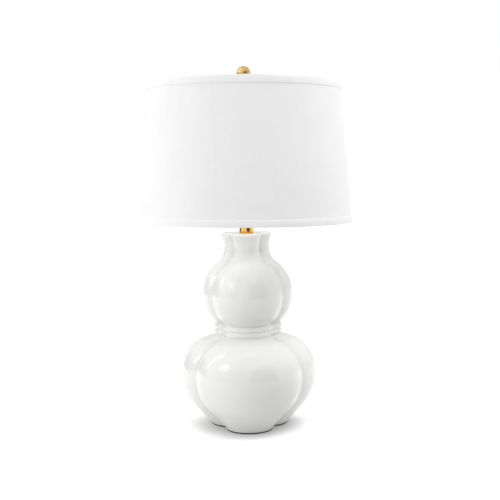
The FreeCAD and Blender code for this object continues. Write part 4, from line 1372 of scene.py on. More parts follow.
@dataclass
class Foot:
    """What closes the foot: felt, steel plate, washer, nut, pipe and the cord bushing."""

    body: GourdBody
    inset: float = -0.6 * MM
    bore: float = 3.5 * MM
    tube_wall: float = 0.9 * MM
    flange_length: float = 4.0 * MM

    def felt(self) -> Piece:
        """The pad, a soft three-lobed outline with fuzzy rounded edges."""
        low, high = span("base_felt")
        radius = self.body.foot_radius - self.body.foot_round - self.inset
        angles = self.body.lobe_angles()
        rows = []
        edge = 0.5 * MM
        levels = [(edge, low), (edge * 0.3, low + edge * 0.3), (0.0, low + edge), (0.0, high - edge),
                  (edge * 0.3, high - edge * 0.3), (edge, high)]
        levels = [(radius * 0.5, low)] + levels + [(radius * 0.5, high)]
        for inward, up in levels:
            distance, _ = self.body.reach(radius - inward, self.body.lower_offset, angles,
                                          self.body.groove_round)
            frayed = np.array([noise.noise(Vector((math.cos(a), math.sin(a), up * 90.0)) * 22.0)
                               for a in angles]) * 0.25 * MM
            distance = distance + frayed
            rows.append(np.stack([distance * np.cos(angles), distance * np.sin(angles),
                                  np.full(len(angles), up)], axis=1))
        for place, up in ((0, low), (len(rows) + 1, high)):
            rows.insert(place, np.tile([0.0, 0.0, up], (len(angles), 1)))
        return skinned("base_felt_pad", np.array(rows))

    def bushing(self) -> Piece:
        """The cord bushing, a tube with a rounded flange."""
        low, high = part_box("cord_bushing")
        flange = (high.x - low.x) / 2.0
        tube = self.bore + self.tube_wall
        seat = high.y - self.flange_length
        outline = eased([(self.bore, low.y), (tube, low.y), (tube, seat), (flange, seat),
                         (flange, high.y), (self.bore, high.y)], 1.0 * MM, closed=True)
        piece = turned("cord_bushing_moulded", outline, 64, ring=True)
        return moved(piece, at(z=(low.z + high.z) / 2.0) @ TO_BACK)

    def build(self) -> None:
        """Build and dress the pieces of the foot."""
        fit(self.felt(), FELT, "base", "base_felt")
        fit(self.bushing(), BUSHING_PLASTIC, "base", "cord_bushing")
        for node in ("base_plate", "base_washer", "base_nut", "lamp_pipe"):
            keep(node, STEEL)


# ---- Brass neck, socket and switch ----
@dataclass
class BrassNeck:
    """The plain brass tube between the body and the socket."""

    wall: float = 1.6 * MM
    lip: float = 2.0 * MM
    hole: float = 5.25 * MM
    edge: float = 0.7 * MM
    line_depth: float = 0.18 * MM
    line_half: float = 0.4 * MM
    line_from_end: float = 2.2 * MM

    def build(self) -> Piece:
        """Build the tube, with eased ends and a turned line near each."""
        low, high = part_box("brass_neck")
        radius = high.x
        inside = radius - self.wall
        outer = [(radius, low.z)]
        for level in (low.z + self.line_from_end, high.z - self.line_from_end):
            outer += [(radius, level - self.line_half), (radius - self.line_depth, level),
                      (radius, level + self.line_half)]
        outer.append((radius, high.z))
        outline = [(inside, low.z)] + outer + [(self.hole, high.z), (self.hole, high.z - self.lip),
                                               (inside, high.z - self.lip)]
        piece = turned("brass_neck_turned", eased(outline, self.edge, 5, closed=True), 128, ring=True,
                       crease=50.0)
        return fit(piece, SATIN_BRASS, "base", "brass_neck")


@dataclass
class Socket:
    """The lamp socket with its turn knob."""

    cap_wall: float = 0.8 * MM
    hub_radius: float = 7.5 * MM
    hub_height: float = 4.5 * MM
    dome_height: float = 12.0 * MM
    dome_bulge: float = 3.0 * MM
    shell_wall: float = 0.5 * MM
    pipe_hole: float = 5.05 * MM
    rim_bead: float = 0.3 * MM
    ring_depth: float = 0.35 * MM
    ring_half: float = 0.7 * MM
    ring_spacing: float = 3.0 * MM
    knob_bore: float = 1.6 * MM
    knob_bore_end: float = 4.9 * MM
    knob_stem: float = 3.75 * MM
    knob_stem_length: float = 2.6 * MM
    knob_ribs: int = 14
    knob_rib_depth: float = 0.32 * MM

    def cap(self) -> Piece:
        """The domed cap, with a rolled rim."""
        low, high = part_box("socket_cap")
        radius, wall, hub = high.x, self.cap_wall, self.hub_radius
        dome = low.z + self.hub_height
        rim = dome + self.dome_height
        outside = traced([(hub, low.z), (hub, dome), Bend(radius, rim, self.dome_bulge),
                          (radius, high.z)], 1.0 * MM)
        inner = traced([(hub - wall, dome + wall), Bend(radius - wall, rim, self.dome_bulge),
                        (radius - wall, high.z)], 1.0 * MM)
        rolled = [(r + self.rim_bead * math.exp(-((z - high.z + 1.0 * MM) / self.ring_half) ** 2), z)
                  for r, z in outside]
        outline = [(self.pipe_hole, low.z)] + rolled + inner[::-1] + [(self.pipe_hole, dome + wall)]
        return turned("socket_cap_pressed", outline, 96, ring=True, crease=50.0)

    def shell(self) -> Piece:
        """The shell, with pressed rings and a rolled top edge."""
        low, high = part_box("socket_shell")
        radius = high.x
        steps = 90
        outside, inner = [], []
        for i in range(steps + 1):
            up = low.z + (high.z - low.z) * i / steps
            press = -self.ring_depth * sum(
                math.exp(-((up - high.z + self.ring_spacing * ring) / self.ring_half) ** 2)
                for ring in (1, 2, 3))
            outside.append((radius + press, up))
            inner.append((radius + press - self.shell_wall, up))
        return turned("socket_shell_pressed", outside + inner[::-1], 96, ring=True, crease=50.0)

    def knob(self) -> Piece:
        """The turn knob: a ribbed grip with a domed end."""
        low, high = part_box("switch_knob")
        radius, near, far = high.x, -high.y, -low.y
        stem, stem_end, bore = self.knob_stem, near + self.knob_stem_length, self.knob_bore

        def ribs(_: float, up: float, angle: float) -> float:
            """Grip ribs that fade out at both ends."""
            fade = ramp(up - near - 4.5 * MM, MM) * ramp(far - 2.5 * MM - up, MM)
            return -self.knob_rib_depth * fade * (0.5 + 0.5 * math.cos(angle * self.knob_ribs))

        corners = [(bore, near), (stem, near), (stem, stem_end), (radius, stem_end + 1.2 * MM),
                   (radius, far - 1.5 * MM), Bend(0.0, far, 0.7 * MM)]
        bore_end = far - self.knob_bore_end
        outline = traced(corners, 0.6 * MM) + [(0.0, bore_end), (bore, bore_end)]
        piece = turned("switch_knob_ribbed", outline, 112, ripple=ribs, ring=True, crease=50.0)
        return moved(piece, at(z=(low.z + high.z) / 2.0) @ TO_FRONT)

    def build(self) -> None:
        """Build and dress the socket and its switch."""
        fit(self.cap(), SOCKET_BRASS, "base", "socket_cap")
        fit(self.shell(), SOCKET_BRASS, "base", "socket_shell")
        fit(self.knob(), PHENOLIC, "switch", "switch_knob")
        keep("set_screw", STEEL)
        keep("socket_liner", CARD)
        keep("socket_interior", PHENOLIC)
        for node in ("screw_shell", "centre_contact", "terminal_screws", "switch_collar",
                     "switch_shaft"):
            keep(node, SOCKET_BRASS)


# ---- Harp ----
@dataclass
class Harp:
    """The wire bow that carries the shade, with its saddle, ferrules and swivel stud."""

    wire: float = 2.0 * MM
    foot_spread: float = 24.0 * MM
    spread: float = 57.0 * MM
    straight: float = 34.0 * MM
    flare_height: float = 78.0 * MM
    side_height: float = 178.0 * MM
    top_half: float = 13.0 * MM
    bend: float = 22.0 * MM
    top_bend: float = 8.0 * MM
    boss_radius: float = 6.5 * MM
    boss_height: float = 4.0 * MM
    sleeve_radius: float = 3.2 * MM
    sleeve_length: float = 12.0 * MM
    saddle_sheet: float = 1.5 * MM
    saddle_width: float = 9.0 * MM
    disc_radius: float = 12.0 * MM
    collar_radius: float = 4.6 * MM
    collar_height: float = 3.0 * MM
    tongue_radius: float = 2.1 * MM
    arm_hole: float = 5.25 * MM
    boss_hole: float = 2.3 * MM
    head_radius: float = 4.0 * MM
    pin_radius: float = 2.2 * MM
    seat_radius: float = 9.5 * MM
    screw_radius: float = 3.17 * MM
    screw_depth: float = 0.45 * MM
    screw_pitch: float = 0.95 * MM
    knurls: int = 24
    knurl_depth: float = 0.22 * MM

    def saddle(self) -> Piece:
        """The bent strap under the socket, with a collar and a tongue for each leg."""
        low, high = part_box("harp_saddle")
        sheet, wide, spread = self.saddle_sheet, self.saddle_width / 2.0, self.foot_spread
        collar_bottom = span("harp_bow")[0] - self.collar_height
        top = low.z + sheet
        disc = eased([(self.arm_hole, low.z), (self.disc_radius, low.z), (self.disc_radius, top),
                      (self.arm_hole, top)], 0.3 * MM, closed=True)
        parts = [turned("disc", disc, 64, ring=True)]
        for side in (-1.0, 1.0):
            near, far = sorted((side * (self.disc_radius - 4.0 * MM), side * (spread + sheet / 2.0)))
            parts.append(block("strap", Vector((near, -wide, low.z)), Vector((far, wide, top)),
                               0.35 * MM))
            x = spread * side
            parts.append(block("arm", Vector((x - sheet / 2.0, -wide, low.z)),
                               Vector((x + sheet / 2.0, wide, collar_bottom + 0.2 * MM)), 0.4 * MM))
            collar = eased([(0.0, collar_bottom), (self.collar_radius, collar_bottom),
                            (self.collar_radius, collar_bottom + self.collar_height),
                            (self.tongue_radius, collar_bottom + self.collar_height),
                            (self.tongue_radius, high.z - 0.6 * MM), (0.0, high.z)], 0.5 * MM)
            parts.append(moved(turned("collar", collar, 40), at(x=x)))
        return joined("harp_saddle_bent", parts)

    def route(self, side: float) -> list[Vector]:
        """One leg's middle line, from the top down to the sleeve."""
        foot = span("harp_bow")[0]
        top = span("harp_bow")[1] - self.boss_height / 2.0
        corners = [
            Vector((0.0, 0.0, top)),
            Vector((self.top_half * side, 0.0, top)),
            Vector((self.spread * side, 0.0, foot + self.side_height)),
            Vector((self.spread * side, 0.0, foot + self.flare_height)),
            Vector((self.foot_spread * side, 0.0, foot + self.straight)),
            Vector((self.foot_spread * side, 0.0, foot + self.sleeve_length - 1.0 * MM)),
        ]
        return bent(corners, (self.top_bend, self.bend, self.bend, self.bend), 2.0 * MM)

    def bow(self) -> Piece:
        """The bow: a bent wire with a pressed boss on top and a crimped sleeve on each leg."""
        low, high = span("harp_bow")
        left, right = self.route(-1.0), self.route(1.0)
        parts = [along("wire", left[::-1] + right[1:], self.wire, 20)]
        boss_low = high - self.boss_height
        boss = eased([(self.boss_hole, boss_low), (self.boss_radius, boss_low),
                      (self.boss_radius, high), (self.boss_hole, high)], 0.7 * MM, closed=True)
        parts.append(turned("boss", boss, 64, ring=True))
        inner = self.tongue_radius + 0.05 * MM
        top = low + self.sleeve_length
        for side in (-1.0, 1.0):
            outline = eased([(inner, low), (self.sleeve_radius, low),
                             (self.sleeve_radius, top - 1.6 * MM), (self.wire, top + 0.6 * MM),
                             (inner * 0.9, top - 1.0 * MM)], 0.4 * MM, closed=True)
            parts.append(moved(turned("sleeve", outline, 40, ring=True), at(x=self.foot_spread * side)))
        return joined("harp_bow_bent", parts)

    def ferrule(self, node: str, name: str) -> Piece:
        """A knurled ferrule that locks one leg."""
        low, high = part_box(node)
        radius = (high.x - low.x) / 2.0
        middle = (low.x + high.x) / 2.0
        inner = radius - 1.2 * MM

        def knurl(reach: float, up: float, angle: float) -> float:
            """Flutes round the outside, fading at both ends."""
            if reach < radius - 0.3 * MM:
                return 0.0
            fade = ramp(up - low.z - MM, MM) * ramp(high.z - 2.0 * MM - up, MM)
            return -self.knurl_depth * fade * (0.5 + 0.5 * math.cos(angle * self.knurls))

        outer = traced([(radius, low.z + 0.4 * MM), (radius, high.z - 0.6 * MM)], 0.5 * MM)
        outline = ([(inner, low.z), (radius - 0.4 * MM, low.z)] + outer
                   + [(radius - 0.6 * MM, high.z), (inner, high.z)])
        piece = turned(name, outline, self.knurls * 6, ripple=knurl, ring=True, crease=50.0)
        return moved(piece, at(x=middle))

    def stud(self) -> Piece:
        """The swivel stud: pin head, seat and a threaded end."""
        low, high = span("harp_stud")
        seat_top = span("spider_hub")[0]
        boss_top = span("harp_bow")[1]
        boss_low = boss_top - self.boss_height
        head, pin, seat, radius = self.head_radius, self.pin_radius, self.seat_radius, self.screw_radius
        outline = [(0.0, low), (head - 0.4 * MM, low), (head, low + 0.4 * MM),
                   (head, boss_low - 0.3 * MM), (pin, boss_low - 0.3 * MM), (pin, boss_top),
                   (6.6 * MM, boss_top), (seat - 0.3 * MM, seat_top - 2.6 * MM),
                   (seat, seat_top - 2.2 * MM), (seat, seat_top - 0.3 * MM),
                   (seat - 0.3 * MM, seat_top), (radius, seat_top)]
        level = seat_top + 0.4 * MM
        while level < high - 1.2 * MM:
            outline += [(radius - self.screw_depth, level), (radius, level + self.screw_pitch / 2.0)]
            level += self.screw_pitch
        outline += [(radius - self.screw_depth, level), (radius - 0.8 * MM, high), (0.0, high)]
        return turned("harp_stud_turned", outline, 64, crease=35.0)

    def build(self) -> None:
        """Build and dress the harp's pieces."""
        fit(self.saddle(), WIRE_BRASS, "base", "harp_saddle")
        fit(self.bow(), WIRE_BRASS, "harp", "harp_bow")
        for side in ("left", "right"):
            node = "ferrule_" + side
            fit(self.ferrule(node, node + "_knurled"), WIRE_BRASS, side + "_ferrule", node)
        fit(self.stud(), WIRE_BRASS, "stud", "harp_stud")


# ---- Bulb ----
@dataclass
class Bulb:
    """A frosted bulb with a screw cap."""

    radius: float = 30.0 * MM
    widest_rise: float = 80.0 * MM
    flank_bulge: float = 2.1 * MM
    neck: float = 11.7 * MM
    glass: float = 0.8 * MM
    thread_depth: float = 0.7 * MM
    thread_pitch: float = 3.6 * MM
    foot_radius: float = 9.0 * MM

    def globe(self) -> Piece:
        """The glass, with a short straight neck that runs into the cap."""
        low, _ = span("bulb_globe")
        widest = span("bulb_tip")[0] + self.widest_rise

        def side(thin: float) -> list[Point]:
            """One face of the glass, from the neck to the top."""
            radius = self.radius - thin
            flank = traced([(self.neck - thin, low), Bend(radius, widest, self.flank_bulge)], 1.5 * MM)
            dome = [(radius * math.cos(turn), widest + radius * math.sin(turn))
                    for turn in (BACK * i / 24.0 for i in range(1, 25))]
            dome[-1] = (0.0, widest + radius)
            return flank + dome

        return turned("bulb_globe_blown", side(0.0) + side(self.glass)[::-1], 96, ring=True, crease=60.0)

    def cap(self) -> Piece:
        """The aluminium cap, with a thread that climbs round it."""
        low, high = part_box("bulb_cap")
        radius = high.x
        start, stop = low.z + 2.2 * MM, high.z - 2.6 * MM

        def thread(_: float, up: float, angle: float) -> float:
            """The screw's wave, fading at both ends."""
            fade = ramp(up - start, 1.5 * MM) * ramp(stop - up, 1.5 * MM)
            wave = 0.5 + 0.5 * math.cos(math.tau * up / self.thread_pitch - angle)
            return (wave - 1.0) * self.thread_depth * fade

        side = traced([(self.foot_radius, low.z), Bend(radius, start, 0.5 * MM), (radius, stop),
                       (radius - self.thread_depth, high.z - 1.0 * MM),
                       (radius - self.thread_depth, high.z)], 0.45 * MM)
        outline = [(0.0, low.z)] + side + [(0.0, high.z)]
        return turned("bulb_cap_rolled", outline, 96, ripple=thread, crease=50.0)

    def build(self) -> None:
        """Build and dress the bulb."""
        fit(self.globe(), FROSTED, "bulb", "bulb_globe")
        fit(self.cap(), ALUMINIUM, "bulb", "bulb_cap")
        keep("bulb_tip", SOLDER)
        keep("bulb_insulator", BLACK_GLASS)
        keep("bulb_stem", STEM_GLASS)
        keep("bulb_filament", STEEL)


# ---- Shade ----
@dataclass
class Shade:
    """The tapered drum shade: cloth on a stiff liner, trims, rings and a three-armed spider."""

    top_radius: float = 189.7 * MM
    bottom_radius: float = 214.6 * MM
    cloth: float = 0.7 * MM
    film: float = 0.8 * MM
    gap: float = 0.05 * MM
    liner_lap: float = 0.5 * MM
    top_trim: float = 14.0 * MM
    bottom_trim: float = 12.5 * MM
    trim_sheet: float = 0.8 * MM
    trim_crown: float = 0.35 * MM
    turn_in: float = 4.0 * MM
    ring_wire: float = 2.0 * MM
    arm_wire: float = 1.8 * MM
    hub_hole: float = 3.4 * MM
    arm_turns: tuple[float, ...] = (90.0, 210.0, 330.0)
    lap: float = 11.0 * MM
    tape_lap: float = 11.0 * MM
    tape_lift: float = 0.55 * MM
    tape_sway: float = 0.12 * MM
    columns: int = 288
    rows: int = 48
    ripple: float = 0.30 * MM
    tilt: float = math.radians(0.9)

    def edges(self) -> tuple[float, float]:
        """The lowest and highest z of the cloth."""
        return span("shade_cover")

    def radius_at(self, up: float) -> float:
        """The cloth's outer radius at a height."""
        low, high = self.edges()
        return self.bottom_radius + (self.top_radius - self.bottom_radius) * (up - low) / (high - low)

    def wound(self, name: str, outward: float, thickness: float, lap: float, wave: float) -> Piece:
        """A sheet wound once round the shade, its end lapped over its start at the back.

        Args:
            name: The piece's name.
            outward: How far the sheet's outside lies outside the cloth's.
            thickness: The sheet's thickness.
            lap: The length of the lap at mid height.
            wave: How far the sheet strays from the true cone.

        Returns:
            The closed sheet.
        """
        low, high = self.edges()
        middle = (self.top_radius + self.bottom_radius) / 2.0
        over = lap / middle
        turns = [BACK + (math.tau + over) * i / self.columns for i in range(self.columns + 1)]
        turns += [BACK + math.tau + over * 0.5 * i / 6.0 for i in range(-3, 10)]
        turns = sorted(set(turns))

        def point(turn: float, up: float, inward: float) -> tuple[float, float, float]:
            """A point of the sheet, with the lapped end lifted over the start."""
            past = (turn - BACK - math.tau) / over + 0.35
            lift = smooth(ramp(past, 0.3)) * thickness * 1.05
            around = outwards(turn)
            stray = noise.noise(around * 2.3 + Vector((0.0, 0.0, up * 5.0))) * wave
            ends = min(ramp(up - low, 15.0 * MM), ramp(high - up, 15.0 * MM))
            reach = self.radius_at(up) + outward - inward + lift + stray * ends
            return (reach * around.x, reach * around.y, up)

        levels = [low + (high - low) * i / self.rows for i in range(self.rows + 1)]
        loop = [(up, 0.0) for up in levels] + [(up, thickness) for up in levels[::-1]]
        grid = np.array([[point(turn, up, inward) for up, inward in loop] for turn in turns])
        sheet = skinned(name, grid, crease=50.0)
        self.close_ends(sheet)
        return sheet

    @staticmethod
    def close_ends(sheet: Piece) -> None:
        """Close the sheet's two cut ends."""
        work = bmesh.new()
        work.from_mesh(sheet.data)
        open_edges = [edge for edge in work.edges if edge.is_boundary]
        bmesh.ops.holes_fill(work, edges=open_edges, sides=0)
        bmesh.ops.recalc_face_normals(work, faces=work.faces)
        work.to_mesh(sheet.data)
        work.free()

    def trim(self, name: str, edge: float, width: float, inward: float) -> Piece:
        """A folded tape round an edge: a crowned face outside, over the edge, and a turn inside.

        Args:
            name: The piece's name.
            edge: The height of the shade's edge.
            width: The height of the tape's outside face.
            inward: 1.0 where the shade is above the edge, -1.0 where it is below.

        Returns:
            The closed tape.
        """
        sheet, skin = self.trim_sheet, self.cloth + self.film
        over = edge - sheet * 0.9 * inward
        section: list[Point] = [(0.02 * MM, width), (sheet * 0.55, width + 0.12 * MM),
                                (sheet, width - 0.35 * MM)]
        steps = 12
        for i in range(1, steps):
            share = i / steps
            crown = self.trim_crown * math.sin(math.pi * share)
            section.append((sheet + crown, width * (1.0 - share)))
        section += [(sheet * 0.8, -sheet * 0.55), (0.0, (over - edge) * inward),
                    (-skin, (over - edge) * inward), (-skin - sheet * 0.75, -sheet * 0.5),
                    (-skin - sheet, 0.4 * MM), (-skin - sheet, self.turn_in - 0.3 * MM),
                    (-skin - sheet * 0.5, self.turn_in), (-skin - 0.02 * MM, self.turn_in - 0.2 * MM),
                    (-skin - 0.02 * MM, 0.1 * MM), (0.02 * MM, 0.1 * MM)]
        outline = [(self.radius_at(edge + up * inward) + out, edge + up * inward) for out, up in section]
        half_lap = self.tape_lap / 2.0 / self.bottom_radius

        def lapped(radius: float, up: float, angle: float) -> float:
            """A small lap of the tape at the back, and a little unevenness elsewhere."""
            beyond = abs(math.remainder(angle - BACK, math.tau))
            outside = radius > self.radius_at(up) + 0.3 * MM
            lift = self.tape_lift if beyond < half_lap and outside else 0.0
            place = outwards(angle) * 9.0 + Vector((0.0, 0.0, edge * 20.0))
            stray = noise.noise(place) * self.tape_sway
            return lift + (stray if outside else 0.0)

        return turned(name, outline, self.columns, ripple=lapped, ring=True, crease=55.0)

    def ring(self, node: str, name: str) -> Piece:
        """A wire ring with a butt weld at the back."""
        low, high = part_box(node)
        level = (low.z + high.z) / 2.0
        radius = high.x - self.ring_wire
        path = [Vector((radius * math.cos(turn), radius * math.sin(turn), level))
                for turn in (math.tau * i / 192.0 for i in range(192))]
        wire = along("wire", path, self.ring_wire, 16, joined=True)
        weld_path = [Vector((radius * math.cos(BACK + shift), radius * math.sin(BACK + shift), level))
                     for shift in (-0.006, 0.0, 0.006)]
        weld = along("weld", weld_path, self.ring_wire * 1.12, 16, round_end=0.3)
        return joined(name, [wire, weld])

    def spider(self) -> None:
        """The hub with its rolled edge, and the three arms with a drop of solder at each end."""
        low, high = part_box("spider_hub")
        radius = high.x
        hole, dish = self.hub_hole, high.z - 0.7 * MM
        outline = eased([(hole, low.z), (radius, low.z), (radius, high.z), (radius - 2.6 * MM, high.z),
                         (radius - 3.6 * MM, dish), (hole + 1.5 * MM, dish), (hole + 0.6 * MM, high.z),
                         (hole, high.z)], 0.5 * MM, closed=True)
        fit(turned("spider_hub_pressed", outline, 72, ring=True), ENAMEL, "shade", "spider_hub")
        ring_low, ring_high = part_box("top_ring")
        ring_z = (ring_low.z + ring_high.z) / 2.0
        ring_radius = ring_high.x - self.ring_wire
        hub_z = (low.z + high.z) / 2.0
        parts = []
        for turn in map(math.radians, self.arm_turns):
            out = outwards(turn)
            start = out * (radius - self.arm_wire) + Vector((0.0, 0.0, hub_z))
            stop = out * (ring_radius - self.ring_wire * 0.4) + Vector((0.0, 0.0, ring_z))
            path = [start.lerp(stop, i / 30.0) for i in range(31)]
            parts.append(along("arm", path, self.arm_wire, 16, round_end=0.2))
            for end, size in ((start + out * 1.5 * MM, 2.1 * MM), (stop - out * 0.5 * MM, 2.5 * MM)):
                drop = [end - out * 2.2 * MM, end - out * 0.8 * MM, end + out * 0.8 * MM]
                parts.append(along("drop", drop, size, 16, round_end=1.0))
        fit(self.seated(joined("spider_arms_welded", parts)), ENAMEL, "shade", "spider_arms")

    def seated(self, piece: Piece) -> Piece:
        """The piece tipped a little to one side about the hub, as a shade sits on its seat."""
        hub = at(z=span("spider_hub")[0])
        return moved(piece, hub @ Matrix.Rotation(self.tilt, 4, "Y") @ hub.inverted())

    def build(self) -> None:
        """Build and dress the shade."""
        low, high = self.edges()
        cover = self.wound("shade_cover_linen", 0.0, self.cloth, self.lap, self.ripple)
        fit(self.seated(cover), LINEN, "shade", "shade_cover")
        liner = self.wound("shade_liner_film", -self.cloth - self.gap, self.film - self.gap,
                           self.liner_lap, 0.0)
        fit(self.seated(liner), STYRENE, "shade", "shade_liner")
        for node, edge, width, inward in (("top_trim", high, self.top_trim, -1.0),
                                          ("bottom_trim", low, self.bottom_trim, 1.0)):
            piece = self.seated(self.trim(node + "_tape", edge, width, inward))
            fit(piece, TAPE, "shade", node)
        for node in ("top_ring", "bottom_ring"):
            fit(self.seated(self.ring(node, node + "_wire")), ENAMEL, "shade", node)
        self.spider()


# ---- Finial ----
@dataclass
class Finial:
    """The ball on top, screwed on to the stud."""

    ball: float = 13.7 * MM
    base_radius: float = 8.5 * MM
    waist_radius: float = 5.4 * MM
    cup_radius: float = 7.0 * MM
    hole: float = 4.3 * MM

    def build(self) -> None:
        """Build the ball and its turned base, and dress the insert."""
        low, high = span("finial_ball")
        centre = high - self.ball
        opening = math.sqrt(max(self.ball ** 2 - (centre - low) ** 2, 0.0))
        start = -math.acos(opening / self.ball)
        steps = 72
        turns = [start + (BACK - start) * i / steps for i in range(steps + 1)]
        sphere = [(self.ball * math.cos(turn), centre + self.ball * math.sin(turn)) for turn in turns]
        sphere[-1] = (0.0, high)
        fit(turned("finial_ball_turned", [(0.0, low)] + sphere, 96), BALL_BRASS, "finial", "finial_ball")
        base_low, base_high = span("finial_base")
        radius, waist, hole = self.base_radius, self.waist_radius, self.hole
        rises = [(radius, 1.1), (radius - 0.4 * MM, 1.4), (radius, 1.7), (radius, 3.0),
                 (waist + 0.9 * MM, 4.4), (waist, 7.0)]
        corners = eased([(hole, base_low), (radius, base_low)]
                        + [(reach, base_low + rise * MM) for reach, rise in rises]
                        + [(self.cup_radius, base_high), (hole, base_high - 0.9 * MM)],
                        0.6 * MM, 5, closed=True)
        fit(turned("finial_base_turned", corners, 96, ring=True), SATIN_BRASS, "finial", "finial_base")
        keep("finial_insert", WIRE_BRASS)


# ---- Studio ----
class Ray(Enum):
    """Kinds of ray that see the plain white background."""

    CAMERA = "Is Camera Ray"
    GLOSSY = "Is Glossy Ray"
    TRANSMISSION = "Is Transmission Ray"


@dataclass(frozen=True)
class Softbox:
    """A soft lamp that faces the object.

    Args:
        name: The lamp's name.
        turn: Its direction in degrees, from the front towards the right.
        rise: Its height above the horizon in degrees.
        away: Its distance in metres.
        width: Its width in metres.
        height: Its height in metres.
        brightness: Its brightness, where 1 is white.
        reflected: Whether glossy pieces show it.
    """

    name: str
    turn: float
    rise: float
    away: float
    width: float
    height: float
    brightness: float
    reflected: bool = True


@dataclass(frozen=True)
class Card:
    """An upright dark card: the two places on the floor where it ends, and its top."""

    name: str
    near: tuple[float, float]
    far: tuple[float, float]
    top: float


@dataclass
class Studio:
    """Camera, lamps, world and floor."""

    lens: float = 73.4
    sensor: float = 36.0
    eye: tuple[float, float, float] = (0.0066, -2.030, 0.522)
    pitch: float = -4.75
    roll: float = -1.05
    aim_height: float = 0.36
    ambient: float = 1.06
    ambient_right: float = -0.24
    ambient_back: float = 0.10
    ambient_fall: float = 0.12
    mirror_back: float = 0.30
    floor_shade: float = 0.88
    floor_bounce: float = 0.78
    # Painted shade: a dark patch on the floor, seen only by bounced light, that darkens the body's lower
    # right.
    bounce_shade_patch: float = 0.04
    bounce_shade_patch_spot: tuple[float, float] = (0.36, -0.55)
    bounce_shade_patch_reach: tuple[float, float] = (0.22, 0.62)
    floor_lift: float = 0.30
    # Reach and depth of the painted contact shadow round the foot.
    contact: float = 0.06
    painted_shadow_depth: float = 0.55
    floor_half: float = 14.0
    glow: float = 0.45
    glow_width: float = 0.38
    glow_height: float = 0.413
    softboxes: tuple[Softbox, ...] = (
        Softbox("key_left_near", -57.0, 31.0, 4.0, 0.66, 1.5, 2.7),
        Softbox("key_left_far", -68.0, 31.0, 4.0, 0.50, 1.5, 2.4),
        Softbox("rear_left", -104.0, 40.0, 2.2, 0.14, 2.6, 5.0),
        Softbox("side_right", 90.0, 50.0, 3.0, 2.0, 2.0, 3.3, reflected=False),
    )
    cards: tuple[Card, ...] = (
        Card("dark_card_viewer", (0.25, -2.7), (2.4, -1.2), 2.0),
        Card("dark_card_left", (-2.95, 0.52), (-1.93, 2.30), 1.1),
    )
    card_bottom: float = 0.02
    card_colour: Colour = (0.05, 0.05, 0.05)

    def camera(self) -> None:
        """The camera at the photograph's place, rolled a little as the photograph is."""
        data = bpy.data.cameras.new("camera")
        data.lens = self.lens
        data.sensor_width = self.sensor
        data.clip_end = 60.0
        camera = linked("camera", data)
        camera.location = self.eye
        pitch = math.radians(self.pitch)
        way = Vector((0.0, math.cos(pitch), math.sin(pitch)))
        camera.rotation_mode = "QUATERNION"
        roll = Quaternion((0.0, 0.0, 1.0), math.radians(self.roll))
        camera.rotation_quaternion = way.to_track_quat("-Z", "Y") @ roll
        bpy.context.scene.camera = camera

    def lamps(self) -> None:
        """The soft lamps, each turned towards the middle of the lamp."""
        aim = Vector((0.0, 0.0, self.aim_height))
        for box in self.softboxes:
            data = bpy.data.lights.new(box.name, "AREA")
            data.shape = "RECTANGLE"
            data.size, data.size_y = box.width, box.height
            data.energy = box.brightness * math.pi * box.width * box.height
            lamp = linked(box.name, data)
            turn, rise = math.radians(box.turn), math.radians(box.rise)
            away = Vector((math.sin(turn) * math.cos(rise), -math.cos(turn) * math.cos(rise),
                           math.sin(rise)))
            lamp.location = aim + away * box.away
            lamp.rotation_mode = "QUATERNION"
            lamp.rotation_quaternion = away.to_track_quat("Z", "Y")
            lamp.visible_glossy = box.reflected

    def shade_glow(self) -> None:
        """The light that the white shade gives inside, down on the body's top."""
        data = bpy.data.lights.new("shade_glow", "AREA")
        data.shape = "DISK"
        data.size = self.glow_width
        data.energy = self.glow * math.pi * math.pi / 4.0 * self.glow_width ** 2
        lamp = linked("shade_glow", data)
        lamp.location = (0.0, 0.0, self.glow_height)
        lamp.visible_glossy = False
        lamp.visible_camera = False

    def seen(self, tree: Tree) -> bpy.types.NodeSocket:
        """1 for the rays that see the background, else 0."""
        path = tree.add("ShaderNodeLightPath")
        camera, glossy, through = (path.outputs[ray.value] for ray in Ray)
        return tree.sum_of("MAXIMUM", camera, tree.sum_of("MAXIMUM", glossy, through))

    def world(self) -> None:
        """White where it is seen, and a soft light that is weaker from the right and overhead."""
        world = bpy.data.worlds.new("studio")
        bpy.context.scene.world = world
        world.use_nodes = True
        tree = Tree(world.node_tree)
        way = tree.add("ShaderNodeTexCoord").outputs["Generated"]
        split = tree.add("ShaderNodeSeparateXYZ")
        tree.feed(split.inputs[0], way)
        x, y, z = split.outputs
        lean = tree.plus(tree.times(x, self.ambient_right), tree.times(y, self.ambient_back))
        fall = tree.less(1.0, tree.times(tree.sum_of("MAXIMUM", z, 0.0), self.ambient_fall))
        light = tree.times(tree.plus(lean, self.ambient), fall)
        strength = tree.add("ShaderNodeMix", data_type="FLOAT")
        tree.feed(strength.inputs[0], self.seen(tree))
        tree.feed(strength.inputs[2], light)
        behind = tree.times(tree.sum_of("MAXIMUM", y, 0.0), self.mirror_back)
        mirrored = tree.add("ShaderNodeLightPath").outputs[Ray.GLOSSY.value]
        tree.feed(strength.inputs[3], tree.less(1.0, tree.times(mirrored, behind)))
        background = tree.add("ShaderNodeBackground")
        tree.fill(background, Color=(1.0, 1.0, 1.0, 1.0), Strength=strength.outputs[0])
        output = tree.add("ShaderNodeOutputWorld")
        tree.feed(output.inputs[0], background.outputs[0])

    def plane(self, name: str, corners: Sequence[tuple[float, float, float]]) -> Piece:
        """A flat stage piece."""
        mesh = bpy.data.meshes.new(name)
        mesh.from_pydata(list(corners), [], [(0, 1, 2, 3)])
        piece = linked(name, mesh)
        return piece

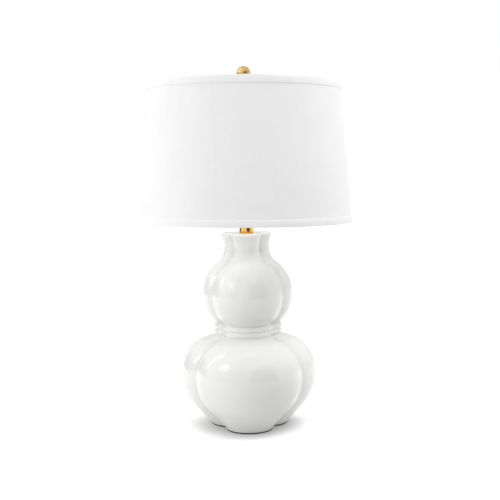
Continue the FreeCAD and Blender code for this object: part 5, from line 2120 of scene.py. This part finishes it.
    def floor(self) -> None:
        """A white floor that keeps the cast shadow and is otherwise as white as the background, with a
        painted contact shadow round the foot and a painted dark patch that only bounced light sees.
        """
        half = self.floor_half
        corners = [(x * half, y * half, 0.0) for x, y in ((-1, -1), (1, -1), (1, 1), (-1, 1))]
        floor = self.plane("floor", corners)
        tree, material = Tree.of_material("white_floor")
        diffuse = tree.add("ShaderNodeBsdfDiffuse")
        seen = self.seen(tree)
        shade, bounce, dark = ((level,) * 3 for level in (self.floor_shade, self.floor_bounce,
                                                          self.bounce_shade_patch))
        # Painted shade patch in front of the foot and to its right, dark only for bounced light.
        away = tree.add("ShaderNodeVectorMath", operation="DISTANCE")
        tree.feed(away.inputs[0], tree.add("ShaderNodeNewGeometry").outputs["Position"])
        away.inputs[1].default_value = (*self.bounce_shade_patch_spot, 0.0)
        clear = tree.mapped(away.outputs["Value"], *self.bounce_shade_patch_reach)
        # Painted contact shadow: the seen floor's colour and lift fall off with occlusion near the foot.
        near = tree.add("ShaderNodeAmbientOcclusion", samples=16)
        tree.fill(near, Distance=self.contact)
        open_sky = tree.mapped(near.outputs["AO"], 0.0, 1.0, 1.0 - self.painted_shadow_depth, 1.0)
        painted_shadow_colour = tree.mixed(open_sky, (0.0, 0.0, 0.0), shade)
        tree.fill(diffuse, Color=tree.mixed(seen, tree.mixed(clear, dark, bounce), painted_shadow_colour))
        lift = tree.add("ShaderNodeEmission")
        tree.fill(lift, Strength=tree.times(seen, tree.times(open_sky, self.floor_lift)))
        both = tree.add("ShaderNodeAddShader")
        tree.feed(both.inputs[0], diffuse.outputs[0])
        tree.feed(both.inputs[1], lift.outputs[0])
        output = tree.add("ShaderNodeOutputMaterial")
        tree.fill(output, Surface=both.outputs[0])
        floor.data.materials.append(material)

    def hang(self, card: Card) -> None:
        """Hang a dark card, seen only in reflections."""
        low, high = self.card_bottom, card.top
        piece = self.plane(card.name, [(*card.near, low), (*card.far, low), (*card.far, high),
                                       (*card.near, high)])
        tree, material = Tree.of_material(card.name)
        diffuse = tree.add("ShaderNodeBsdfDiffuse")
        tree.fill(diffuse, Color=self.card_colour)
        output = tree.add("ShaderNodeOutputMaterial")
        tree.fill(output, Surface=diffuse.outputs[0])
        piece.data.materials.append(material)
        piece.visible_camera = False
        piece.visible_diffuse = False
        piece.visible_shadow = False

    def build(self) -> None:
        """Set up the studio."""
        bpy.context.scene.view_settings.view_transform = "Standard"
        self.camera()
        self.lamps()
        self.shade_glow()
        self.world()
        self.floor()
        for card in self.cards:
            self.hang(card)


def main() -> None:
    """Build the studio and the lamp, piece by piece."""
    logging.basicConfig(level=logging.INFO, format="%(name)s: %(message)s")
    Studio().build()
    body = GourdBody()
    glazed = fit(body.build(), GLAZE, "base", "gourd_body")
    log.info("gourd body: %d points", len(glazed.data.vertices))
    for part in (Foot(body), BrassNeck(), Socket(), Harp(), Bulb(), Shade(), Finial()):
        part.build()
        log.info("%s built", type(part).__name__)


if __name__ == "__main__":
    main()
